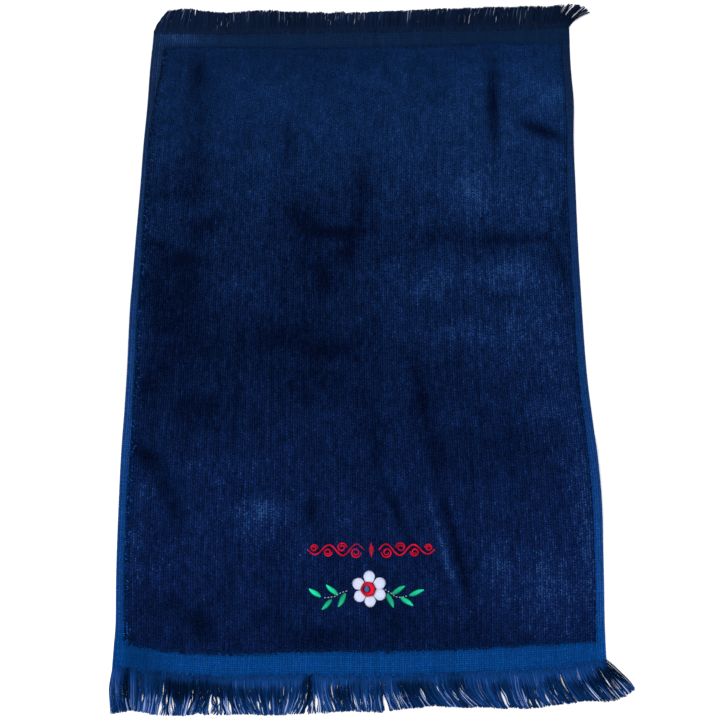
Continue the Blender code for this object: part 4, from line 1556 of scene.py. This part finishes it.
class TOWEL_OT_flower(bpy.types.Operator):
    """Satin-stitch the flower: six white petals, a red ring and a blue-grey eye"""

    bl_idname = "towel.flower"
    bl_label = "Flower"

    def execute(self, context):
        sprig = settings().sprig
        draw = np.random.default_rng(FLOWER_SEED)
        petals = np.concatenate([petal_stitches(petal) for petal in PETALS])
        a = np.tile(np.linspace(-1, 1, PETAL_STITCHES), len(PETALS))
        tone = stitch_tone(draw, len(petals), sunk_shade=PETAL_SUNK_SHADE)
        # Painted shade: each petal's outer stitches are darker, towards the seams between the
        # petals.
        tone = tone * (1.02 - 0.16 * np.abs(a) ** 3)[:, None]
        white = sprig.petal_colour, WHITE_SHINE
        stitched("petals", petals, tone, white, ("flower_petals",))
        turn = np.linspace(0, 2 * math.pi, RING_STITCHES, endpoint=False)
        ray = np.stack([np.cos(turn), np.sin(turn)], 1)
        inner = EYE + ray * (EYE_RADIUS + 0.1)
        outer = np.array(RING) + ray * RING_OUTER
        ring = straight(inner, outer, STITCH_CROWN)
        # Painted light and shade: the ring's stitches are lighter on its right side and darker on
        # its left.
        tone = stitch_tone(draw, len(ring)) * (0.95 + 0.42 * np.cos(turn))[:, None]
        red = sprig.ring_colour, RED_SHINE
        stitched("ring", ring, tone, red, ("flower_ring",))
        rows = np.linspace(-1, 1, EYE_STITCHES) * 0.93
        half = EYE_RADIUS * np.sqrt(1 - rows**2)
        y = EYE[1] + rows * EYE_RADIUS
        start = np.stack([EYE[0] - half, y], 1)
        end = np.stack([EYE[0] + half, y], 1)
        eye = straight(start, end, EYE_CROWN)
        tone = stitch_tone(draw, len(eye))
        grey = sprig.eye_colour, GREY_SHINE
        stitched("eye", eye, tone, grey, ("flower_eye",))
        return {"FINISHED"}


def leaf_stitches(leaf):
    """One leaf's slanted stitches, from one side of it to the other."""
    run = np.array([leaf.tip_x - leaf.root_x, leaf.tip_y - leaf.root_y])
    length = np.hypot(*run)
    ahead = run / length
    aside = np.array([-ahead[1], ahead[0]])
    root = np.array([leaf.root_x, leaf.root_y])
    s = np.linspace(0.04, 0.96, LEAF_STITCHES)
    half = leaf.wide / 2 * np.sin(math.pi * s**0.85) ** 0.8
    slant = LEAF_SLANT * length * np.sin(math.pi * s)
    start = root + (s * length - slant)[:, None] * ahead - half[:, None] * aside
    end = root + (s * length + slant)[:, None] * ahead + half[:, None] * aside
    crown = LEAF_END_CROWN + (STITCH_CROWN - LEAF_END_CROWN) * np.sin(math.pi * s)
    return arched(start, end, (start + end) / 2, crown)


class TOWEL_OT_leaves(bpy.types.Operator):
    """Satin-stitch the eight green leaves and run the white stem stitches between them"""

    bl_idname = "towel.leaves"
    bl_label = "Leaves and Stems"

    def execute(self, context):
        sprig = settings().sprig
        draw = np.random.default_rng(LEAF_SEED)
        green = sprig.leaf_colour, sprig.leaf_shine
        for number, leaf in enumerate(LEAVES, 1):
            paths = leaf_stitches(leaf)
            # Painted light and shade: each leaf's shine sets the light its slanted stitches catch;
            # each leaf grows lighter from root to tip, and each stitch from one side of the leaf to
            # the other.
            tone = stitch_tone(draw, len(paths)) * leaf.shine
            tone = tone * np.linspace(0.80, 1.35, len(paths))[:, None]
            tone = tone * np.linspace(0.62, 1.35, tone.shape[1])[None]
            name = f"leaf_stitches_{number}"
            node = f"leaf_{number}"
            stitched(name, paths, tone, green, (node,))
        starts, ends = [], []
        for stem in STEMS:
            line = np.array(stem)
            along = np.concatenate([[0], np.cumsum(np.hypot(*np.diff(line, axis=0).T))])
            at = np.arange(0.0, along[-1] - STEM_DASH, STEM_PITCH)
            for offset, points in ((0.0, starts), (STEM_DASH, ends)):
                x = np.interp(at + offset, along, line[:, 0])
                y = np.interp(at + offset, along, line[:, 1])
                points.append(np.stack([x, y], 1))
        start, end = np.concatenate(starts), np.concatenate(ends)
        paths = straight(start, end, STEM_CROWN)
        tone = STEM_TONE * stitch_tone(draw, len(paths))
        white = sprig.petal_colour, WHITE_SHINE
        stitched("stem_stitches", paths, tone, white)
        return {"FINISHED"}


def scroll_lines():
    """The scroll's lines for one side: a wave, and a curl that leaves it in each hollow."""
    end = SCROLL_START + SCROLL_WAVE * CURLS / 2
    x = np.linspace(SCROLL_START, end, 140)
    fade = 1 - 0.3 * ((x - SCROLL_START) / (end - SCROLL_START)) ** 2
    phase = 2 * math.pi * (x - SCROLL_START) / SCROLL_WAVE
    made = [np.stack([x, SCROLL_SWING * fade * np.sin(phase)], 1)]
    for k in range(CURLS):
        side = 1 if k % 2 == 0 else -1
        shrunk = 1 - CURL_SHRINKING * k
        size = CURL_RADIUS * shrunk
        middle = SCROLL_START + SCROLL_WAVE * (0.25 + 0.5 * k) + 0.5
        turn = np.linspace(0, 1, 60)
        angle = math.pi * (1 + CURL_HALF_TURNS * turn)
        radius = size * (1 - CURL_CLOSING * turn)
        curl_x = middle + radius * np.cos(angle)
        curl_y = side * (radius * np.sin(angle) - CURL_DROP * shrunk)
        made.append(np.stack([curl_x, curl_y], 1))
    return made


def satin_line(line, width, step):
    """Narrow slanted stitches side by side along a line: where each starts and ends."""
    along = np.concatenate([[0], np.cumsum(np.hypot(*np.diff(line, axis=0).T))])
    at = np.arange(0.0, along[-1], step)
    x, y = np.interp(at, along, line[:, 0]), np.interp(at, along, line[:, 1])
    ahead = np.stack([np.gradient(x), np.gradient(y)], 1)
    ahead /= np.linalg.norm(ahead, axis=1, keepdims=True)
    aside = np.stack([-ahead[:, 1], ahead[:, 0]], 1)
    middle = np.stack([x, y], 1)
    wide = width * (0.75 + 0.25 * np.sin(math.pi * at / along[-1]))[:, None]
    offset = aside * wide / 2 + ahead * wide * 0.25
    return middle - offset, middle + offset


class TOWEL_OT_scroll(bpy.types.Operator):
    """Stitch a plain red scroll over the sprig"""

    bl_idname = "towel.scroll"
    bl_label = "Scroll"

    def execute(self, context):
        draw = np.random.default_rng(SCROLL_SEED)
        starts, ends = [], []
        for side in (-1, 1):
            for line in scroll_lines():
                placed = line * (side, 1) + SCROLL_MIDDLE
                start, end = satin_line(placed, SATIN_WIDE, SATIN_PITCH)
                starts.append(start)
                ends.append(end)
        rows = np.linspace(-0.94, 0.94, LOZENGE_STITCHES)
        half = LOZENGE[0] * (1 - np.abs(rows))
        y = SCROLL_MIDDLE[1] + rows * LOZENGE[1]
        starts.append(np.stack([SCROLL_MIDDLE[0] - half, y], 1))
        ends.append(np.stack([SCROLL_MIDDLE[0] + half, y], 1))
        start, end = np.concatenate(starts), np.concatenate(ends)
        paths = straight(start, end, SCROLL_CROWN, SCROLL_STEPS)
        tone = stitch_tone(draw, len(paths), SCROLL_STEPS)
        x, y = start[:, 0], start[:, 1]
        tone = tone * np.exp(SCROLL_MOTTLE * value_noise(x, y, 2.2, 7))[:, None]
        sprig = settings().sprig
        red = sprig.scroll_colour, SCROLL_SHINE
        stitched("scroll_stitches", paths, tone, red)
        return {"FINISHED"}


class TOWEL_OT_declare(bpy.types.Operator):
    """An empty step: it does nothing"""

    bl_idname = "towel.declare"
    bl_label = "Declare Cloth"

    def execute(self, context):
        return {"FINISHED"}


def area_light(lamp, power):
    """A soft rectangular studio light at its place, turned to its aim, unseen by the camera."""
    bpy.ops.object.light_add(type="AREA", location=lamp.place)
    light = bpy.context.active_object
    light.name = lamp.name
    light.data.shape = "RECTANGLE"
    light.data.size, light.data.size_y = lamp.size
    light.data.energy = power
    light.data.color = lamp.colour
    towards = Vector(lamp.aim) - Vector(lamp.place)
    light.rotation_euler = towards.to_track_quat("-Z", "Y").to_euler()
    light.visible_camera = False


class TOWEL_OT_stage(bpy.types.Operator):
    """Set the pale floor, the soft studio lights and the camera"""

    bl_idname = "towel.stage"
    bl_label = "Stage"

    def execute(self, context):
        stage = settings().stage
        bpy.ops.object.select_all(action="DESELECT")
        bpy.ops.mesh.primitive_plane_add(size=FLOOR_SIZE, location=(0.0, 0.0, 0.0))
        floor = context.active_object
        floor.name = "floor"
        material = bpy.data.materials.new("floor_paint")
        material.use_nodes = True
        shader = material.node_tree.nodes["Principled BSDF"]
        shader.inputs["Base Color"].default_value = (*stage.floor_colour, 1.0)
        shader.inputs["Roughness"].default_value = FLOOR_ROUGHNESS
        floor.data.materials.append(material)
        world = bpy.data.worlds.new("studio")
        world.use_nodes = True
        world.node_tree.nodes["Background"].inputs["Color"].default_value = (1.0, 1.0, 1.0, 1.0)
        world.node_tree.nodes["Background"].inputs["Strength"].default_value = stage.ambient
        context.scene.world = world
        area_light(NEAR_LAMP, stage.near_power)
        area_light(FAR_LAMP, stage.far_power)
        rise, roll = math.radians(CAMERA_RISE), math.radians(CAMERA_ROLL)
        back = Vector((0.0, -math.cos(rise), math.sin(rise)))
        bpy.ops.object.camera_add(location=Vector(CAMERA_AIM) + back * CAMERA_AWAY)
        camera = context.active_object
        turn = back.to_track_quat("Z", "Y")
        camera.rotation_euler = turn.to_euler()
        camera.rotation_euler.rotate_axis("Z", roll)
        camera.data.sensor_width = CAMERA_SENSOR
        camera.data.lens = CAMERA_LENS
        context.scene.camera = camera
        context.scene.view_settings.view_transform = "Standard"
        return {"FINISHED"}


def colour_property(name, description, default):
    """A colour on the panel."""
    return FloatVectorProperty(
        name=name, description=description, default=default, min=0.0, max=1.0, subtype="COLOR"
    )


def length_property(name, description, default, low, high):
    """A length on the panel, in metres."""
    return FloatProperty(
        name=name, description=description, default=default, min=low, max=high,
        unit="LENGTH", subtype="DISTANCE",
    )


class TowelClothSettings(bpy.types.PropertyGroup):
    rib_pitch: length_property(
        "Rib Pitch", "Width of one rib: two tufts in the pile, a pair of warps",
        0.00141, 0.0008, 0.01,
    )
    tuft_pitch: length_property(
        "Tuft Pitch", "Distance from tuft to tuft along a rib", 0.00078, 0.0005, 0.01
    )
    pick_pitch: length_property(
        "Pick Pitch", "Distance from weft to weft in the plain bands", 0.0012, 0.0006, 0.01
    )
    lint: colour_property("Lint", "Colour of the lightest loose fibres", (0.06, 0.10, 0.20))
    pile_near: colour_property(
        "Pile, Near End", "Colour of the velour near the sprig", (0.0037, 0.0111, 0.0575)
    )
    # The far colour, lighter and greener than the near one, is painted sheen and haze where the
    # pile is seen at a grazing angle.
    pile_far_sheen: colour_property(
        "Pile, Far End", "Colour of the velour at the far end", (0.0040, 0.0172, 0.0670)
    )
    pile_light: colour_property(
        "Pile, Lightest", "Colour of the velour's lightest fibres", (0.025, 0.085, 0.240)
    )
    pile_deep: colour_property(
        "Pile, Deep", "Colour of the velour at half its tone", (0.0023, 0.0043, 0.0240)
    )
    # Painted light: the near yarn is brighter than the far one, for light falling off from the near
    # end.
    yarn_near_lit: colour_property(
        "Yarn, Near End", "Colour of the woven bands near the sprig", (0.0020, 0.040, 0.175)
    )
    # Painted sheen: a pale lift of the selvedges' colour, mostly in red, for the whitish sheen on
    # them.
    selvedge_sheen: FloatProperty(
        name="Selvedge Fuzz", description="How much pale fuzz lightens the rubbed selvedges",
        default=0.003, min=0.0, max=0.1,
    )
    # Painted light: the far yarn is darker than the near one, for light falling off towards the far
    # end.
    yarn_far_shaded: colour_property(
        "Yarn, Far End", "Colour of the woven bands at the far end", (0.0048, 0.0175, 0.056)
    )


class TowelFringeSettings(bpy.types.PropertyGroup):
    threads: IntProperty(
        name="Threads", description="Loose threads in each fringe", default=1250, min=50, max=2000
    )
    evenness: FloatProperty(
        name="Evenness", description="Share of the threads that leave the hem evenly spaced",
        default=0.75, min=0.0, max=1.0, subtype="FACTOR",
    )
    thread_radius: length_property(
        "Thread Radius", "Half the thickness of a fringe thread", 0.00033, 0.0001, 0.001
    )
    fuzz_and_sheen: FloatProperty(
        name="Fuzz", description="How much pale fuzz lightens the loose threads", default=0.003,
        min=0.0, max=0.1,
    )
    lint: colour_property("Lint", "Colour of the fringe's palest fibres", (0.42, 0.48, 0.60))


class TowelSprigSettings(bpy.types.PropertyGroup):
    thread_radius: length_property(
        "Thread Radius", "Half the thickness of an embroidery stitch", 0.00021, 0.0001, 0.001
    )
    petal_colour: colour_property(
        "Petals", "Thread of the petals and stem stitches", (0.50, 0.54, 0.70)
    )
    ring_colour: colour_property(
        "Ring", "Thread of the ring round the flower's eye", (0.62, 0.004, 0.024)
    )
    eye_colour: colour_property("Eye", "Thread of the flower's eye", (0.055, 0.10, 0.28))
    leaf_colour: colour_property("Leaves", "Thread of the leaves", (0.006, 0.40, 0.21))
    leaf_shine: colour_property(
        "Leaf Shine", "Colour of the leaves where their thread catches the light",
        (0.28, 0.90, 0.70),
    )
    scroll_colour: colour_property(
        "Scroll", "Thread of the scroll over the sprig", (0.46, 0.003, 0.030)
    )


class TowelStageSettings(bpy.types.PropertyGroup):
    floor_colour: colour_property("Floor", "Colour of the floor", (0.86, 0.86, 0.87))
    ambient: FloatProperty(
        name="Ambient", description="Strength of the even light all round", default=0.75, min=0.0
    )
    near_power: FloatProperty(
        name="Near Light", description="Power of the light beyond the near end", default=9.0,
        min=0.0, unit="POWER",
    )
    far_power: FloatProperty(
        name="Far Light", description="Power of the light beyond the far end", default=12.0,
        min=0.0, unit="POWER",
    )


class TowelSettings(bpy.types.PropertyGroup):
    cloth: PointerProperty(type=TowelClothSettings)
    fringe: PointerProperty(type=TowelFringeSettings)
    sprig: PointerProperty(type=TowelSprigSettings)
    stage: PointerProperty(type=TowelStageSettings)


OPERATORS = (
    TOWEL_OT_ground,
    TOWEL_OT_weave,
    TOWEL_OT_pile,
    TOWEL_OT_edge_threads,
    TOWEL_OT_fringe,
    TOWEL_OT_flower,
    TOWEL_OT_leaves,
    TOWEL_OT_scroll,
    TOWEL_OT_declare,
    TOWEL_OT_stage,
)


class TOWEL_PT_panel(bpy.types.Panel):
    """The towel's settings and the steps that build it"""

    bl_idname = "TOWEL_PT_panel"
    bl_label = "Fingertip Towel"
    bl_space_type = "VIEW_3D"
    bl_region_type = "UI"
    bl_category = "Towel"

    def draw(self, context):
        towel = context.scene.fingertip_towel
        for group in (towel.cloth, towel.fringe, towel.sprig, towel.stage):
            box = self.layout.box()
            for name in group.__annotations__:
                box.prop(group, name)
        for operator in OPERATORS:
            self.layout.operator(operator.bl_idname)


CLASSES = (
    TowelClothSettings,
    TowelFringeSettings,
    TowelSprigSettings,
    TowelStageSettings,
    TowelSettings,
    *OPERATORS,
    TOWEL_PT_panel,
)


def register():
    """Add the towel's settings, steps and panel."""
    for part in CLASSES:
        bpy.utils.register_class(part)
    bpy.types.Scene.fingertip_towel = PointerProperty(type=TowelSettings)


def unregister():
    """Take them away again."""
    del bpy.types.Scene.fingertip_towel
    for part in reversed(CLASSES):
        bpy.utils.unregister_class(part)


def main():
    """Register the add-on and build every piece in order."""
    register()
    bpy.ops.towel.ground()
    bpy.ops.towel.weave()
    bpy.ops.towel.pile()
    bpy.ops.towel.edge_threads()
    bpy.ops.towel.fringe()
    bpy.ops.towel.flower()
    bpy.ops.towel.leaves()
    bpy.ops.towel.scroll()
    bpy.ops.towel.declare()
    bpy.ops.towel.stage()
    bpy.context.view_layer.update()


if __name__ == "__main__":
    main()
